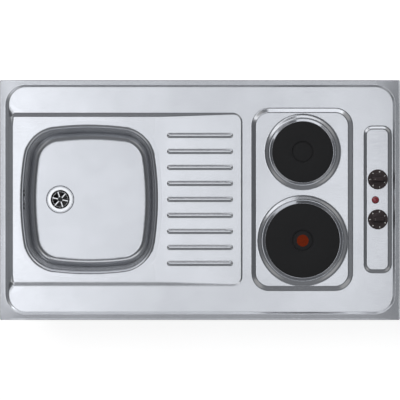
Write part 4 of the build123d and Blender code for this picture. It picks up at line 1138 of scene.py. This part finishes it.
# %% [markdown]
# What the steel mirrors matters more than how much light there is. A photo of a real room could be
# wrapped round the scene, but a few ramps are easier to steer. From the horizon up, the room is
# bright, then dim, then darkest in a ring below the zenith, so every slope that leans away from the
# lamps goes dark. Towards the front the horizon is dark, the left wall is dimmer, and lit corners
# give the steel something to mirror in slanting views.

# %% The room
world = bpy.data.worlds.new("dim_room")
world.use_nodes = True
bpy.context.scene.world = world
room = NodeNet(world.node_tree)
view = room.add("TexCoord").outputs["Generated"]
towards = room.add("SeparateXYZ", {"Vector": view}).outputs
room_tint = (0.975, 1.005, 1.06)


def room_ramp(levels):
    """The room's brightness from the horizon, at 0, to straight up, at 1."""
    stops = [(height, [level * share for share in room_tint]) for height, level in levels]
    return room.ramp(towards["Z"], *stops)


def mixed(factor, first, second, blend_type):
    """Two colours of the room, mixed."""
    node = room.add("Mix", data_type="RGBA", blend_type=blend_type)
    colours = [socket for socket in node.inputs if socket.type == "RGBA"]
    for socket, source in zip((node.inputs[0], *colours), (factor, first, second)):
        room.feed(socket, source)
    return next(socket for socket in node.outputs if socket.type == "RGBA")


low_room = ((0.0, 0.86), (0.29, 0.80), (0.34, 0.22), (0.50, 0.20), (0.62, 0.19))
dark_ring = ((0.72, 0.10), (0.89, 0.09), (0.94, 0.24), (1.0, 0.3))
front_room = ((0.0, 0.10), (0.08, 0.14), (0.14, 0.80), (0.29, 0.80), (0.34, 0.22), (0.62, 0.19))
window_side = ((0.74, 0.2), (0.87, 0.2), (0.93, 0.25), (1.0, 0.3))
frontwards = room.spread(towards["Y"], 1.0, 0.0, -0.5, -0.25)
walls = mixed(frontwards, room_ramp(low_room + dark_ring), room_ramp(front_room + window_side), "MIX")
slant = room.maths("ABSOLUTE", room.maths("MULTIPLY", towards["X"], towards["Y"]))
lit_corners = mixed(1.0, walls, room.spread(slant, 0.0, 0.42, 0.22, 0.30), "LIGHTEN")
background = room.tree.nodes["Background"].inputs
room.feed(background["Color"], lit_corners)
room.feed(background["Strength"], room.spread(towards["X"], 0.5, 1.0, -0.87, -0.78))
print("room of", len(room.tree.nodes), "nodes")

# %% [markdown]
# Overhead hangs a row of large soft panels: the flats mirror them and look bright, each field a
# little differently. Two strips behind the unit light the slopes that face the wall. One big panel
# would be simpler, but then all flats would look the same. A last, very soft lamp is for what doesn't
# mirror: it is hidden from gloss, and brings plastic, iron and floor to the level at which a colour
# shows as it is written.

# %% The lamps
panel_tint = (0.98, 1.0, 1.042)


def soft_panel(name, place, aim, size, radiance):
    """A rectangular lamp of a given brightness, unseen by the camera."""
    light = bpy.data.lights.new(name, "AREA")
    light.shape = "RECTANGLE"
    light.size, light.size_y = size
    light.color = panel_tint
    light.energy = radiance * math.pi * size[0] * size[1]
    lamp = bpy.data.objects.new(name, light)
    lamp.location = place
    lamp.rotation_euler = (Vector(aim) - Vector(place)).to_track_quat("-Z", "Y").to_euler()
    lamp.visible_camera = False
    bpy.context.scene.collection.objects.link(lamp)
    print(name, "of", [round(s, 2) for s in size], "m")


overhead_edges = (-1.35, -0.66, 0.05, 0.40, 0.90)
overhead_levels = (1.58, 0.76, 0.37, 1.18)
overhead_y, overhead_z, overhead_depth = 0.05, 6.0, 2.0
for start, stop, level in zip(overhead_edges, overhead_edges[1:], overhead_levels):
    place, aim = (((start + stop) / 2, overhead_y, z) for z in (overhead_z, 0.0))
    soft_panel("overhead_panel", place, aim, (stop - start, overhead_depth), level)
soft_panel("hob_strip", (0.485, 0.95, 0.50), (0.485, 0.0, 0.50), (0.73, 0.32), 1.1)
soft_panel("high_strip", (-0.64, 0.95, 1.06), (-0.64, 0.0, 1.06), (1.52, 0.68), 0.95)
sun = bpy.data.lights.new("even_light", "SUN")
sun.energy, sun.angle = 2.6, math.radians(40)
even = bpy.data.objects.new("even_light", sun)
even.rotation_euler = (math.radians(-20), math.radians(-22), 0)
even.visible_glossy = False
bpy.context.scene.collection.objects.link(even)

# %% [markdown]
# The photo was taken from high above with a long lens, so there is hardly any perspective: only the
# bowl's walls show that the camera stands over the middle. An orthographic camera would lose that.
# The height follows from the lens and from the width of the view, which the unit fills from edge to
# edge.

# %% The camera and the end
camera_data = bpy.data.cameras.new("camera")
camera_data.sensor_width = 36.0
camera_data.lens = 338.0
camera_data.clip_end = 100.0
camera = bpy.data.objects.new("camera", camera_data)
view_width = 2 * edge[0] * MM
camera.location.z = rim_z * MM + view_width * camera_data.lens / camera_data.sensor_width
bpy.context.scene.collection.objects.link(camera)
bpy.context.scene.camera = camera
bpy.context.scene.view_settings.view_transform = "Standard"

dressed_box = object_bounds()
for title, corner in zip(("dressed model from", "to"), dressed_box):
    print(title, [round(v, 4) for v in corner])
